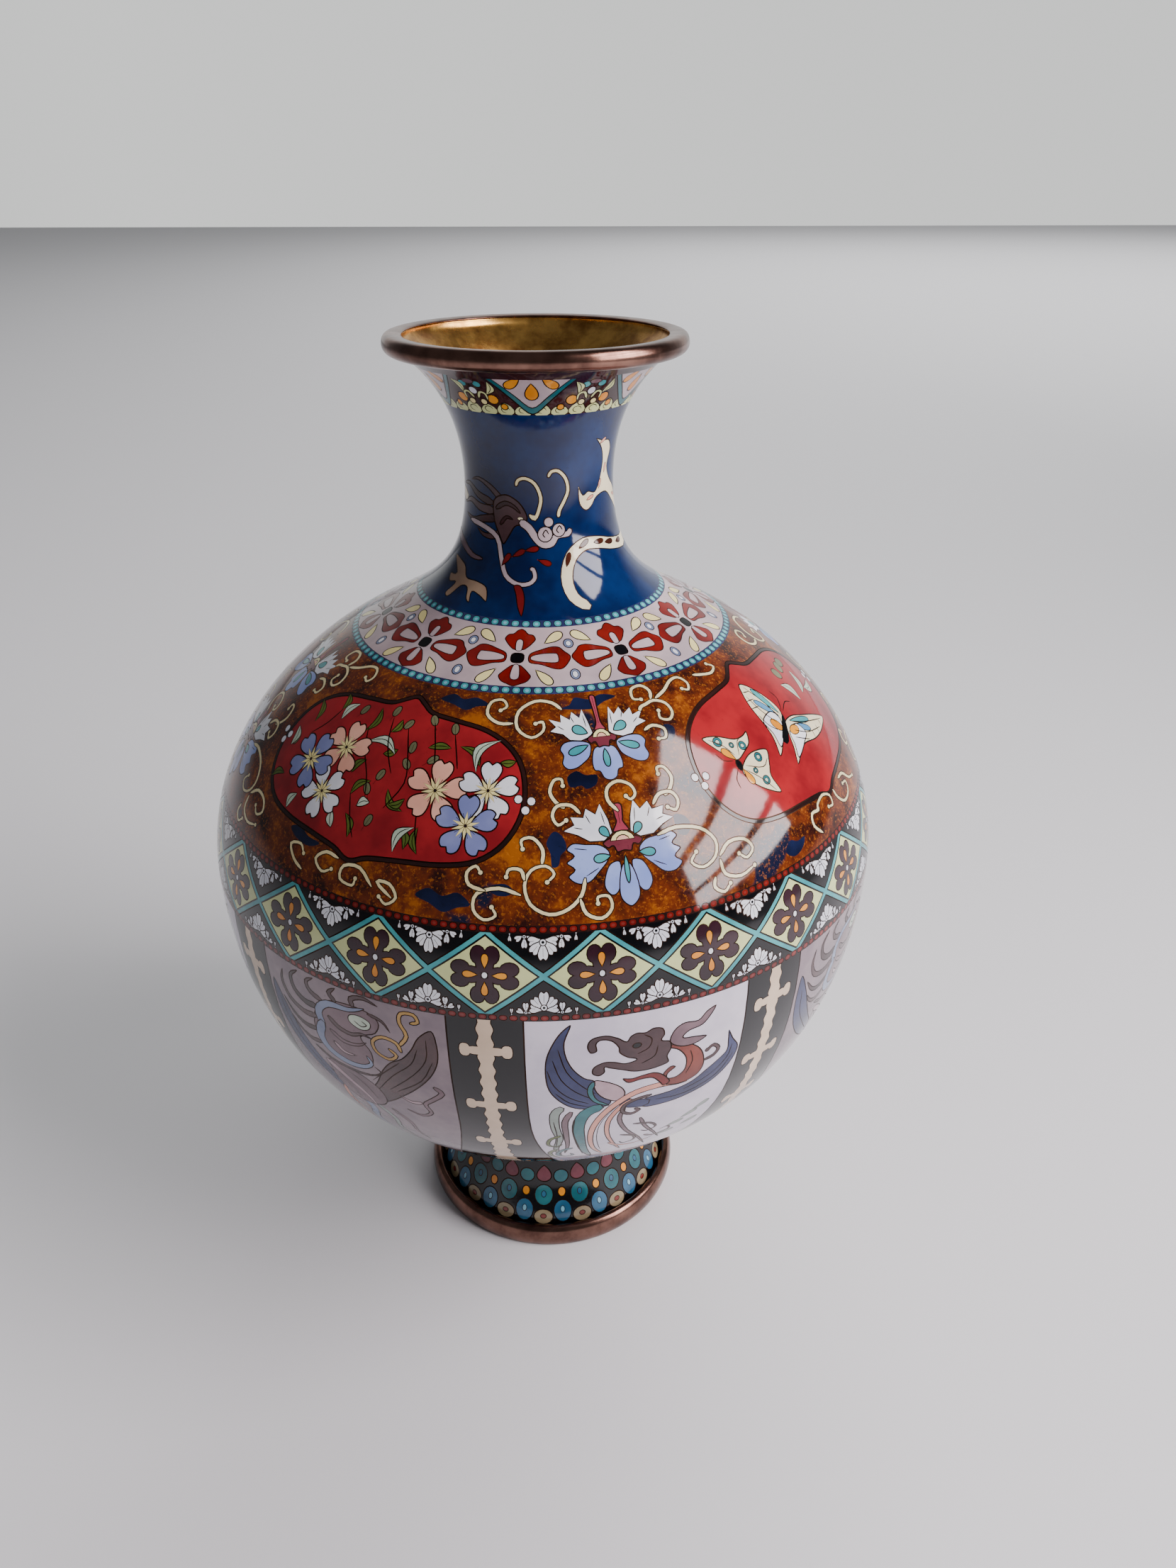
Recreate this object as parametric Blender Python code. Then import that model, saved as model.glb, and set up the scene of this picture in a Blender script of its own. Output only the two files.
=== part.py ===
"""Enamelled copper vase: a hollow body on a tall foot, with a copper rim at its mouth and foot.

Metres, +Z up. The origin is the centre of the base, on the vase's axis.
"""

import math

import bmesh
import bpy
import numpy as np

# Foot of the body
SKIRT_RADIUS = 0.0347
SKIRT_CLEARANCE = 0.0013
WAIST_RADIUS = 0.0258
WAIST_HEIGHT = 0.0295

# Belly: its underside, where it is widest, and its shoulder
UNDERSIDE_RADIUS = 0.0445
UNDERSIDE_RISE = 0.0175
UNDERSIDE_SLOPE = 34.0
BELLY_RADIUS = 0.0843
BELLY_RISE = 0.075
SHOULDER_RADIUS = 0.0439
SHOULDER_RISE = 0.0581
SHOULDER_SLOPE = 27.5

# Neck, its flare and the lip
NECK_RADIUS = 0.0171
NECK_RISE = 0.0335
FLARE_RADIUS = 0.0293
FLARE_RISE = 0.0272
FLARE_SLOPE = 37.3
LIP_REACH = 0.0018
LIP_RISE = 0.0035

# Walls
WALL = 0.0018
FLOOR_THICKNESS = 0.002
FLOOR_RISE = 0.0085

# The rims, and the gap between a rim and the body
RIM_GAP = 0.0003
MOUTH_RIM_REACH = 0.0023
MOUTH_RIM_WIDTH = 0.0036
MOUTH_RIM_HEIGHT = 0.0042
MOUTH_RIM_RISE = 0.0007
FOOT_RIM_REACH = 0.0028
FOOT_RIM_WIDTH = 0.0038
FOOT_RIM_HEIGHT = 0.0066
FOOT_RIM_CENTRE = 0.0029

# How finely the round forms are cut
SEGMENTS = 48
RIM_POINTS = 18
SHORTEST_EDGE = 0.0001


def direction(slope):
    """Unit vector in the section plane, rising outwards at a slope in degrees."""
    angle = math.radians(slope)
    return np.array([math.cos(angle), math.sin(angle)])


def up(length):
    """A vector straight up the section, or down where the length is negative."""
    return np.array([0.0, length])


def curve(start, start_handle, end_handle, end, steps):
    """Points of a cubic curve from start to end, without the end itself.

    The handles are vectors: from the start forwards, and from the end backwards.
    """
    t = np.linspace(0.0, 1.0, steps, endpoint=False)[:, None]
    first = start + start_handle
    second = end + end_handle
    return (
        (1 - t) ** 3 * start
        + 3 * (1 - t) ** 2 * t * first
        + 3 * (1 - t) * t ** 2 * second
        + t ** 3 * end
    )


def stations():
    """The named places of the outer section, as radius and height."""
    waist = WAIST_HEIGHT
    underside = waist + UNDERSIDE_RISE
    belly = underside + BELLY_RISE
    shoulder = belly + SHOULDER_RISE
    neck = shoulder + NECK_RISE
    flare = neck + FLARE_RISE
    return {
        "skirt": np.array([SKIRT_RADIUS, SKIRT_CLEARANCE]),
        "waist": np.array([WAIST_RADIUS, waist]),
        "underside": np.array([UNDERSIDE_RADIUS, underside]),
        "belly": np.array([BELLY_RADIUS, belly]),
        "shoulder": np.array([SHOULDER_RADIUS, shoulder]),
        "neck": np.array([NECK_RADIUS, neck]),
        "flare": np.array([FLARE_RADIUS, flare]),
        "lip": np.array([FLARE_RADIUS + LIP_REACH, flare + LIP_RISE]),
    }


def foot_outline(at, steps):
    """The foot's side, from its bottom edge up to the waist."""
    rise = at["waist"][1] - at["skirt"][1]
    return curve(at["skirt"], up(0.22 * rise), up(-0.43 * rise), at["waist"], steps)


def root_outline(at, steps):
    """From the waist out to the belly's underside."""
    rise = at["underside"][1] - at["waist"][1]
    outwards = direction(UNDERSIDE_SLOPE)
    return curve(at["waist"], up(0.5 * rise), -0.6 * rise * outwards, at["underside"], steps)


def belly_outline(at, steps):
    """From the belly's underside up to the lip."""
    under = direction(UNDERSIDE_SLOPE)
    over = direction(SHOULDER_SLOPE) * [-1.0, 1.0]
    flare = direction(FLARE_SLOPE)
    low = at["belly"][1] - at["underside"][1]
    high = at["shoulder"][1] - at["belly"][1]
    throat = at["neck"][1] - at["shoulder"][1]
    mouth = at["flare"][1] - at["neck"][1]
    lip = at["lip"][1] - at["flare"][1]
    rounds = [
        (at["underside"], 0.08 * low * under, up(-0.72 * low), at["belly"], steps),
        (at["belly"], up(0.525 * high), -0.295 * high * over, at["shoulder"], steps),
        (at["shoulder"], 0.59 * throat * over, up(-0.615 * throat), at["neck"], steps - 1),
        (at["neck"], up(0.47 * mouth), -0.34 * mouth * flare, at["flare"], steps - 2),
        (at["flare"], 0.4 * lip * flare, up(-0.5 * lip), at["lip"], 3),
    ]
    pieces = [curve(*part) for part in rounds]
    return np.vstack(pieces + [at["lip"][None]])


def offset(points, distance):
    """The points moved to the left of their run by a distance, square to it."""
    along = np.gradient(points, axis=0)
    along /= np.linalg.norm(along, axis=1)[:, None]
    left = np.stack([-along[:, 1], along[:, 0]], axis=1)
    return points + distance * left


def body_section(at):
    """The body's closed section, from the axis inside to the axis under the floor."""
    outside = np.vstack([foot_outline(at, 5), root_outline(at, 3), belly_outline(at, 8)])
    inside = offset(belly_outline(at, 4), WALL)
    inside[-1] = at["lip"] - [WALL, 0.0]
    floor_top = at["waist"][1] + FLOOR_RISE + FLOOR_THICKNESS
    floor_edge = inside[0]
    reach = floor_edge[0]
    floor = curve(
        np.array([0.0, floor_top]),
        np.array([0.45 * reach, 0.0]),
        -0.28 * reach * direction(UNDERSIDE_SLOPE),
        floor_edge,
        4,
    )
    skirt = offset(np.vstack([foot_outline(at, 3), at["waist"][None]]), WALL)
    skirt[0] = at["skirt"] - [WALL, 0.0]
    under_edge = skirt[-1]
    under_top = np.array([0.0, floor_top - FLOOR_THICKNESS])
    height = under_top[1] - under_edge[1]
    under = curve(
        under_edge,
        up(0.7 * height),
        np.array([0.6 * under_edge[0], 0.0]),
        under_top,
        3,
    )
    return np.vstack([floor, inside, outside[::-1], skirt[:-1], under, under_top[None]])


def rim_section(outline, centre, width, height, lowest):
    """A rim's oval section, cut back to a gap from the body and to a lowest level."""
    angles = np.linspace(math.pi, -math.pi, RIM_POINTS, endpoint=False)
    radius = centre[0] + 0.5 * width * np.cos(angles)
    level = np.maximum(centre[1] + 0.5 * height * np.sin(angles), lowest)
    slope = np.gradient(outline[:, 0], outline[:, 1])
    side = np.interp(level, outline[:, 1], outline[:, 0])
    lean = np.interp(level, outline[:, 1], slope)
    limit = side + RIM_GAP * np.sqrt(1.0 + lean ** 2)
    return even_loop(np.stack([np.maximum(radius, limit), level], axis=1))


def even_loop(points):
    """A closed loop of points without the ones that all but meet their neighbour."""
    kept = [points[0]]
    for point in points[1:]:
        if np.linalg.norm(point - kept[-1]) > 3 * SHORTEST_EDGE:
            kept.append(point)
    if np.linalg.norm(kept[-1] - kept[0]) <= 3 * SHORTEST_EDGE:
        kept.pop()
    return np.array(kept)


def mouth_rim_section(at):
    """The rim around the lip: an oval bead whose crown stands over the lip's edge."""
    outline = belly_outline(at, 40)
    outline = outline[outline[:, 1] > at["neck"][1]]
    crown = at["lip"][1] + MOUTH_RIM_RISE
    centre = np.array([
        at["lip"][0] + MOUTH_RIM_REACH - 0.5 * MOUTH_RIM_WIDTH,
        crown - 0.5 * MOUTH_RIM_HEIGHT,
    ])
    return rim_section(outline, centre, MOUTH_RIM_WIDTH, MOUTH_RIM_HEIGHT, 0.0)


def foot_rim_section(at):
    """The rim around the foot's edge: an oval band, cut flat where the vase stands."""
    outline = foot_outline(at, 40)
    centre = np.array([
        SKIRT_RADIUS + FOOT_RIM_REACH - 0.5 * FOOT_RIM_WIDTH,
        FOOT_RIM_CENTRE,
    ])
    height = 2.0 * (FOOT_RIM_HEIGHT - FOOT_RIM_CENTRE)
    return rim_section(outline, centre, FOOT_RIM_WIDTH, height, 0.0)


def material(name, colour, roughness, metallic):
    """A plain finish in one colour."""
    finish = bpy.data.materials.new(name)
    finish.use_nodes = True
    shader = finish.node_tree.nodes["Principled BSDF"]
    shader.inputs["Base Color"].default_value = (*colour, 1.0)
    shader.inputs["Roughness"].default_value = roughness
    shader.inputs["Metallic"].default_value = metallic
    return finish


def turned(name, section, closed, finish):
    """A piece turned about the vase's axis from its section, by a Screw modifier."""
    mesh = bpy.data.meshes.new(name)
    shape = bmesh.new()
    corners = [shape.verts.new((radius, 0.0, height)) for radius, height in section]
    for here, there in zip(corners, corners[1:]):
        shape.edges.new((here, there))
    if closed:
        shape.edges.new((corners[-1], corners[0]))
    shape.to_mesh(mesh)
    shape.free()
    piece = bpy.data.objects.new(name, mesh)
    bpy.context.scene.collection.objects.link(piece)
    screw = piece.modifiers.new("Turn", "SCREW")
    screw.steps = SEGMENTS
    screw.render_steps = SEGMENTS
    screw.use_merge_vertices = True
    screw.merge_threshold = 0.1 * SHORTEST_EDGE
    screw.use_smooth_shade = True
    mesh.materials.append(finish)
    return piece


def clear_scene():
    """Remove what the scene starts with."""
    for item in list(bpy.data.objects):
        bpy.data.objects.remove(item, do_unlink=True)


def build():
    """Make the body and its two rims."""
    clear_scene()
    enamel = material("enamel", (0.02, 0.045, 0.14), 0.12, 0.0)
    copper = material("rim_copper", (0.42, 0.22, 0.15), 0.3, 1.0)
    at = stations()
    turned("vase_body", body_section(at), False, enamel)
    turned("mouth_rim", mouth_rim_section(at), True, copper)
    turned("foot_rim", foot_rim_section(at), True, copper)


build()
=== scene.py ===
# %% [markdown]
# # An enamelled copper vase
# This vase is cloisonne work. Its maker beats a vessel from copper sheet, bends fine copper
# wire into the outlines of a picture, solders the wires to the vessel, fills each cell between
# them with ground glass, fires it and grinds everything flush. So the surface is one smooth
# turned form, and all the drawing on it is flat: coloured cells with thin metal edges.
#
# The lesson rebuilds it in the same order: the vessel, a flat chart of its skin, the wires and
# cells of each band, the enamels, and last the light and the camera.

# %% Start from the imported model
import math

import bpy
import numpy as np
from mathutils.geometry import delaunay_2d_cdt
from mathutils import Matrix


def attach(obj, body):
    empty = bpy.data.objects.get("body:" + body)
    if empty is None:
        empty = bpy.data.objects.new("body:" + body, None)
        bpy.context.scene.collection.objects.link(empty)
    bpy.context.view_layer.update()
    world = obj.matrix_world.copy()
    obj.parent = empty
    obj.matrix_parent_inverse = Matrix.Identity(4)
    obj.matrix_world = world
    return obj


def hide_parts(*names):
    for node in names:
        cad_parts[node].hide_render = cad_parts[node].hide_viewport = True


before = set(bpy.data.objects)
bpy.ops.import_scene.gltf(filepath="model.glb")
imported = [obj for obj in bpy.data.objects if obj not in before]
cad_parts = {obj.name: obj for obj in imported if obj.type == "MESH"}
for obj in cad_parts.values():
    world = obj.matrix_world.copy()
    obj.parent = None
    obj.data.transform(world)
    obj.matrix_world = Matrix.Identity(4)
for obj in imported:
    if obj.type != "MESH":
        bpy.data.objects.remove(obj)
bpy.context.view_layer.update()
MM = 0.001

# %% [markdown]
# ## The section of the vessel
# A turned vessel is one outline carried round an axis. The outline has a handful of places
# that a potter would name, and a cubic curve between each pair. The sizes are those of the
# solids, so that the enamel lies exactly where the model's wall is.

# %% The named places and the curves between them
STATIONS = {
    "skirt": (34.7, 1.3),
    "waist": (25.8, 29.5),
    "underside": (44.5, 47.0),
    "belly": (84.3, 122.0),
    "shoulder": (43.9, 180.1),
    "neck": (17.1, 213.6),
    "flare": (29.3, 240.8),
    "lip": (31.1, 244.3),
}
UNDERSIDE_SLOPE = 34.0
SHOULDER_SLOPE = 27.5
FLARE_SLOPE = 37.3
WALL = 1.8
FINE = 60  # points on each curve


def toward(slope, side=1.0):
    """Unit vector in the section plane: (cosine, sine) of a slope in degrees."""
    angle = math.radians(slope)
    return np.array([side * math.cos(angle), math.sin(angle)])


def up(length):
    """A vector straight up the section."""
    return np.array([0.0, length])


def cubic(start, leave, arrive, end, steps=FINE):
    """Cubic curve: the sum of the four ends and handles, each times its Bernstein weight."""
    t = np.linspace(0.0, 1.0, steps, endpoint=False)[:, None]
    return (
        (1 - t) ** 3 * start
        + 3 * (1 - t) ** 2 * t * (start + leave)
        + 3 * (1 - t) * t ** 2 * (end + arrive)
        + t ** 3 * end
    )


def outer_section():
    """The outside from the foot's edge to the lip, as radius and height in millimetres."""
    at = {name: np.array(place) for name, place in STATIONS.items()}
    names = list(STATIONS)
    rise = {b: at[b][1] - at[a][1] for a, b in zip(names, names[1:])}
    under = toward(UNDERSIDE_SLOPE)
    over = toward(SHOULDER_SLOPE, -1.0)
    flare = toward(FLARE_SLOPE)
    handles = {
        "waist": (up(0.22 * rise["waist"]), up(-0.43 * rise["waist"])),
        "underside": (up(0.5 * rise["underside"]), -0.6 * rise["underside"] * under),
        "belly": (0.08 * rise["belly"] * under, up(-0.72 * rise["belly"])),
        "shoulder": (up(0.525 * rise["shoulder"]), -0.295 * rise["shoulder"] * over),
        "neck": (0.59 * rise["neck"] * over, up(-0.615 * rise["neck"])),
        "flare": (up(0.47 * rise["flare"]), -0.34 * rise["flare"] * flare),
        "lip": (0.4 * rise["lip"] * flare, up(-0.5 * rise["lip"])),
    }
    pieces = [cubic(at[a], *handles[b], at[b]) for a, b in zip(names, names[1:])]
    return np.vstack(pieces + [at["lip"][None]])


SECTION = outer_section()
STEPS = np.linalg.norm(np.diff(SECTION, axis=0), axis=1)
ALONG = np.concatenate([[0.0], np.cumsum(STEPS)])
SLOPES = np.gradient(SECTION, ALONG, axis=0)
print("section:", len(SECTION), "points,", round(float(ALONG[-1]), 1), "mm along the wall")


# %% [markdown]
# ## A flat chart of the skin
# The pictures are drawn on a chart: degrees round the vase across, and millimetres along the
# wall upwards, from the foot's edge. Zero degrees is the front. A shape that has a true size,
# such as a petal, is drawn in millimetres about its own middle and then laid on the chart.

# %% From the chart to the vase
def along_wall(s, table):
    """A column of the section's table read at the distances s along the wall."""
    return np.interp(s, ALONG, table)


def mm_per_degree(s):
    """How many millimetres one degree is, at s: the radius there times pi / 180."""
    return along_wall(s, SECTION[:, 0]) * math.pi / 180.0


def on_vase(chart):
    """Chart points on the vase, in metres, and the wall's normals there.

    The section's point and its normal are carried round the axis by the chart's angle:
    their outward part times (sine, minus cosine), and their height.
    """
    angle = np.radians(chart[:, 0])
    radius = along_wall(chart[:, 1], SECTION[:, 0])
    height = along_wall(chart[:, 1], SECTION[:, 1])
    normal_out = along_wall(chart[:, 1], SLOPES[:, 1])
    normal_up = -along_wall(chart[:, 1], SLOPES[:, 0])
    place = np.stack([radius * np.sin(angle), -radius * np.cos(angle), height], axis=1)
    normal = np.stack(
        [normal_out * np.sin(angle), -normal_out * np.cos(angle), normal_up], axis=1
    )
    return place * MM, normal / np.linalg.norm(normal, axis=1)[:, None]


def spun(shape, turn, rise=0.0):
    """A shape in millimetres, turned clockwise about (0, 0) by turn degrees, then raised."""
    angle = math.radians(turn)
    x = shape[:, 0] * math.cos(angle) + shape[:, 1] * math.sin(angle)
    y = rise + shape[:, 1] * math.cos(angle) - shape[:, 0] * math.sin(angle)
    return np.stack([x, y], axis=1)


def lay(shape, theta, s, turn=0.0):
    """A shape in millimetres, turned clockwise by turn degrees, laid at (theta, s).

    Its distance across is divided by the millimetres in a degree at its own height.
    """
    flat = spun(shape, turn, s)
    return np.stack([theta + flat[:, 0] / mm_per_degree(flat[:, 1]), flat[:, 1]], axis=1)


widest = ALONG[list(STATIONS).index("belly") * FINE]
print("one degree at the belly:", round(float(mm_per_degree(widest)), 2), "mm")


# %% [markdown]
# ## Bending wire
# Nearly every motif on such a vase comes from a few bends that the wire worker repeats: an
# oval, a petal, a drop, a smooth loop through some points, and a stroke of even or tapering
# width. Each is a closed loop of points, anticlockwise.

# %% The wire worker's shapes
WIRE = 0.3
SHARPEST = 0.79  # the least mean normal at a corner: its mitre is 1.6 times the distance


def oval(width, height, points=14, square=1.0):
    """An ellipse: (cosine, sine) of a turning angle; square below 1 fills its corners."""
    a = np.linspace(0.0, 2 * math.pi, points, endpoint=False)
    x = np.sign(np.cos(a)) * np.abs(np.cos(a)) ** square
    y = np.sign(np.sin(a)) * np.abs(np.sin(a)) ** square
    return np.stack([0.5 * width * x, 0.5 * height * y], axis=1)


def petal(length, width, taper=0.6, points=18):
    """A petal with its point at (0, 0): the sine of an angle times height to a power."""
    a = np.linspace(0.0, 2 * math.pi, points, endpoint=False)
    height = 0.5 * (1 - np.cos(a))
    side = np.sin(a) * height ** taper
    return np.stack([0.5 * width * side / side.max(), length * height], axis=1)


def drop(length, width, taper=0.6, points=18):
    """A petal turned over: round at (0, 0) and pointed at its far end."""
    return np.array([0.0, length]) - petal(length, width, taper, points)


def smooth(points, closed=True, finer=4):
    """A curve through points: the cubic whose slope at each is half its neighbours' step."""
    p = np.array(points, float)
    if not closed:
        p = np.vstack([2 * p[0] - p[1], p, 2 * p[-1] - p[-2]])
    before, here, there, beyond = (np.roll(p, k, axis=0)[:, None] for k in (1, 0, -1, -2))
    t = np.linspace(0.0, 1.0, finer, endpoint=False)[None, :, None]
    curve = 0.5 * (
        2 * here
        + (there - before) * t
        + (2 * before - 5 * here + 4 * there - beyond) * t ** 2
        + (3 * here - before - 3 * there + beyond) * t ** 3
    )
    if closed:
        return curve.reshape(-1, 2)
    return np.vstack([curve[1:-2].reshape(-1, 2), p[-2][None]])


def mirrored(points):
    """A right half, from the top down, with its mirror image about zero added."""
    half = np.array(points, float)
    inner = half[np.abs(half[:, 0]) > 1e-9]
    return np.vstack([half, (inner * [-1.0, 1.0])[::-1]])


def sideways(path, distance, closed):
    """Chart points moved to the right of their run by a distance in millimetres.

    At each point the way to the right is the mean of its two sides' normals, lengthened so
    that both sides move by the full distance, but at most to 1.6 times it.
    """
    scale = mm_per_degree(path[:, 1])
    run = path.copy()
    if closed:
        ahead = np.roll(path, -1, axis=0) - path
        behind = path - np.roll(path, 1, axis=0)
    else:
        step = np.diff(path, axis=0)
        ahead = np.vstack([step, step[-1:]])
        behind = np.vstack([step[:1], step])
    normals = []
    for step in (behind, ahead):
        flat = np.stack([step[:, 0] * scale, step[:, 1]], axis=1)
        flat /= np.maximum(np.linalg.norm(flat, axis=1), 1e-9)[:, None]
        normals.append(np.stack([flat[:, 1], -flat[:, 0]], axis=1))
    mean = 0.5 * (normals[0] + normals[1])
    length = np.maximum(np.linalg.norm(mean, axis=1), SHARPEST)
    mean /= (length ** 2)[:, None]
    run[:, 0] += np.reshape(distance, -1) * mean[:, 0] / scale
    run[:, 1] += np.reshape(distance, -1) * mean[:, 1]
    return run


def area(loop):
    """Twice the signed area of a loop: positive when it runs anticlockwise."""
    ahead = np.roll(loop, -1, axis=0)
    return float(np.sum(loop[:, 0] * ahead[:, 1] - loop[:, 1] * ahead[:, 0]))


def stroke(path, width, tip=1.0):
    """The outline of a brush stroke along a chart path, width millimetres wide.

    The width is full in the middle; towards each end it follows a circle's edge, so that
    the ends are round, and tip is the share of the width that the last end keeps.
    """
    scale = mm_per_degree(path[:, 1])
    step = np.diff(path, axis=0)
    length = np.hypot(step[:, 0] * 0.5 * (scale[1:] + scale[:-1]), step[:, 1])
    run = np.concatenate([[0.0], np.cumsum(length)])
    share = run / run[-1]
    half = 0.5 * width * (1.0 + (tip - 1.0) * share ** 2)
    reach = np.minimum(run, run[-1] - run) / (0.5 * width)
    half = half * np.sqrt(np.clip(0.25 + 1.5 * reach, 0.0, 1.0))
    right = sideways(path, half, False)
    left = sideways(path, -half, False)
    return np.vstack([right, left[::-1]])


print("shapes: an oval of", len(oval(2, 1)), "points, a petal of", len(petal(4, 2)))


# %% [markdown]
# ## Cutting a band into cells
# A band of the vase repeats one drawing round the axis. Each drawing is cut once: the loops
# become fixed edges of one triangulation, a grid of points keeps every triangle small enough
# to follow the curve of the wall, and each triangle takes the paint of the last loop that
# holds its middle. A cell is two loops, the wire and the enamel inside it. Cutting real
# edges, and not painting a picture, keeps them sharp from any distance.

# %% A band and its cells
laid = {}
EDGE_STEP = 2.0  # millimetres between the points up a repeat's sides
EDGE_TURN = 1.5  # degrees between the points along its low and high edges
ROW_SHARE = 0.87  # rows of the inner grid, as in a net of even triangles
JOIN = 0.004  # millimetres within which two points are one


class Band:
    """One repeat of a band, from low to high along the wall and width degrees wide."""

    def __init__(self, low, high, width, first, ground, spacing=2.6):
        self.low = low
        self.high = high
        self.width = width
        self.first = first
        self.ground = ground
        self.spacing = spacing
        self.loops = []

    def fill(self, loop, paint):
        """A patch of one paint with no wire of its own."""
        if area(loop) < 0:
            loop = loop[::-1]
        self.loops.append((loop, paint))

    def group(self, loops, paint, wire=WIRE):
        """Overlapping loops as one cell: the wires of all of them, then the paint of all."""
        loops = [loop if area(loop) > 0 else loop[::-1] for loop in loops]
        self.loops += [(loop, "wire") for loop in loops]
        self.loops += [(sideways(loop, -wire, True), paint) for loop in loops]

    def cell(self, loop, paint, wire=WIRE):
        """A cell: the loop is the wire's outer edge, and the paint lies inside it."""
        self.group([loop], paint, wire)

    def line(self, path, width=WIRE):
        """A bare wire along an open chart path."""
        self.fill(stroke(path, width), "wire")

    def near(self):
        """Every loop that meets this repeat, with those of its neighbours that cross in."""
        found = []
        for loop, paint in self.loops:
            for turn in (-self.width, 0.0, self.width):
                moved = loop + [turn, 0.0]
                left = moved[:, 0].min() < self.first + self.width
                right = moved[:, 0].max() > self.first
                if left and right:
                    found.append((moved, paint))
        return found

    def cut(self):
        """Triangles of one repeat: chart points, corners and the paint of each triangle."""
        scale = float(mm_per_degree(0.5 * (self.low + self.high)))
        last = self.first + self.width
        rows = max(2, int((self.high - self.low) / EDGE_STEP) + 1)
        columns = max(2, int(self.width / EDGE_TURN) + 1)
        s = np.linspace(self.low, self.high, rows)
        t = np.linspace(self.first, last, columns)
        frame_loop = np.vstack([
            np.stack([t, np.full_like(t, self.low)], axis=1)[:-1],
            np.stack([np.full_like(s, last), s], axis=1)[:-1],
            np.stack([t[::-1], np.full_like(t, self.high)], axis=1)[:-1],
            np.stack([np.full_like(s, self.first), s[::-1]], axis=1)[:-1],
        ])
        found = self.near()
        loops = [frame_loop] + [loop for loop, paint in found]
        grid_t = np.arange(self.first, last, self.spacing / scale)[1:]
        grid_s = np.arange(self.low, self.high, ROW_SHARE * self.spacing)[1:]
        across, rising = np.meshgrid(grid_t, grid_s)
        across[::2] += 0.5 * self.spacing / scale
        grid = np.stack([across.ravel(), rising.ravel()], axis=1)
        grid = grid[grid[:, 0] < last - 0.2 * self.spacing / scale]
        points = np.vstack(loops + [grid]) * [scale, 1.0]
        edges = []
        start = 0
        for loop in loops:
            ids = np.arange(start, start + len(loop))
            edges.append(np.stack([ids, np.roll(ids, -1)], axis=1))
            start += len(loop)
        result = delaunay_2d_cdt(
            [tuple(p) for p in points.tolist()], np.vstack(edges).tolist(), [], 0, JOIN, False
        )
        corners = np.array([tuple(v) for v in result[0]]) / [scale, 1.0]
        faces = np.array(result[2], int)
        middle = corners[faces].mean(axis=1)
        inside = (
            (middle[:, 0] > self.first) & (middle[:, 0] < last)
            & (middle[:, 1] > self.low) & (middle[:, 1] < self.high)
        )
        faces = faces[inside]
        middle = middle[inside]
        paints = [self.ground]
        owner = np.zeros(len(faces), int)
        for loop, paint in found:
            if paint not in paints:
                paints.append(paint)
            owner[within(middle, loop)] = paints.index(paint)
        return corners, faces, owner, paints

    def hang(self, copies):
        """Lay the cut repeat round the vase and keep its triangles by their paint."""
        corners, faces, owner, paints = self.cut()
        for number, paint in enumerate(paints):
            chosen = faces[owner == number]
            if not len(chosen):
                continue
            used, numbers = np.unique(chosen, return_inverse=True)
            numbers = numbers.reshape(-1, 3)
            for copy in range(copies):
                moved = corners[used] + [copy * self.width, 0.0]
                laid.setdefault(paint, []).append((moved, numbers))
        print("band", self.low, "to", self.high, "mm:", len(faces), "triangles x", copies)


def within(places, loop):
    """Which places a loop goes round: its edges that pass to their right, up less down."""
    box = (
        (places[:, 0] > loop[:, 0].min()) & (places[:, 0] < loop[:, 0].max())
        & (places[:, 1] > loop[:, 1].min()) & (places[:, 1] < loop[:, 1].max())
    )
    x = places[box, 0][:, None]
    y = places[box, 1][:, None]
    ahead = np.roll(loop, -1, axis=0)
    x0, y0, x1, y1 = loop[:, 0], loop[:, 1], ahead[:, 0], ahead[:, 1]
    side = (x1 - x0) * (y - y0) - (x - x0) * (y1 - y0)
    rises = (y0 <= y) & (y1 > y) & (side > 0)
    falls = (y0 > y) & (y1 <= y) & (side < 0)
    result = np.zeros(len(places), bool)
    result[box] = (rises.sum(axis=1) - falls.sum(axis=1)) != 0
    return result


# %% [markdown]
# ## The bead rows
# Rows of small glass beads divide the vase: turquoise ones above and below the collar, dark
# red ones above and below the band of diamonds and under the panels. A maker bends rings of
# wire and fills each with one drop of glass. Here a bead is drawn once and repeated, with a
# paler heart in its middle.

# %% Rows of beads
def bead_row(low, high, count, width, paint, ground, heart):
    """A row of rounded beads: one oval and its heart, in a repeat of 360 / count degrees."""
    row = Band(low, high, 360.0 / count, 0.0, ground)
    theta = 180.0 / count
    middle = 0.5 * (low + high)
    row.cell(lay(oval(width, high - low - 0.15, 10, 0.85), theta, middle), paint, 0.14)
    row.fill(lay(oval(0.45 * width, 0.4 * (high - low), 6), theta, middle), heart)
    row.hang(count)


for low, high, count, width, glass, ground, heart in (
    (236.4, 238.3, 78, 1.9, "turquoise", "navy", "sky"),
    (218.2, 220.2, 124, 1.95, "turquoise", "navy", "sky"),
    (167.2, 168.8, 250, 1.75, "dark_red", "brown_dark", "brick"),
    (147.8, 149.4, 250, 1.85, "dark_red", "brown_dark", "brick"),
    (56.0, 57.8, 150, 1.6, "dark_red", "brown_dark", "brick"),
):
    bead_row(low, high, count, width, glass, ground, heart)


# %% [markdown]
# ## The foot
# On black ground two columns take turns round the foot. One has a blue petal under an amber
# dot and a teal one; the other has a sand petal with a red heart, a teal petal and a dark
# rose drop. Ovals are enough for petals this small, so each is one line of a table: its
# shape, its column, its height, its paint and its wire.

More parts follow.
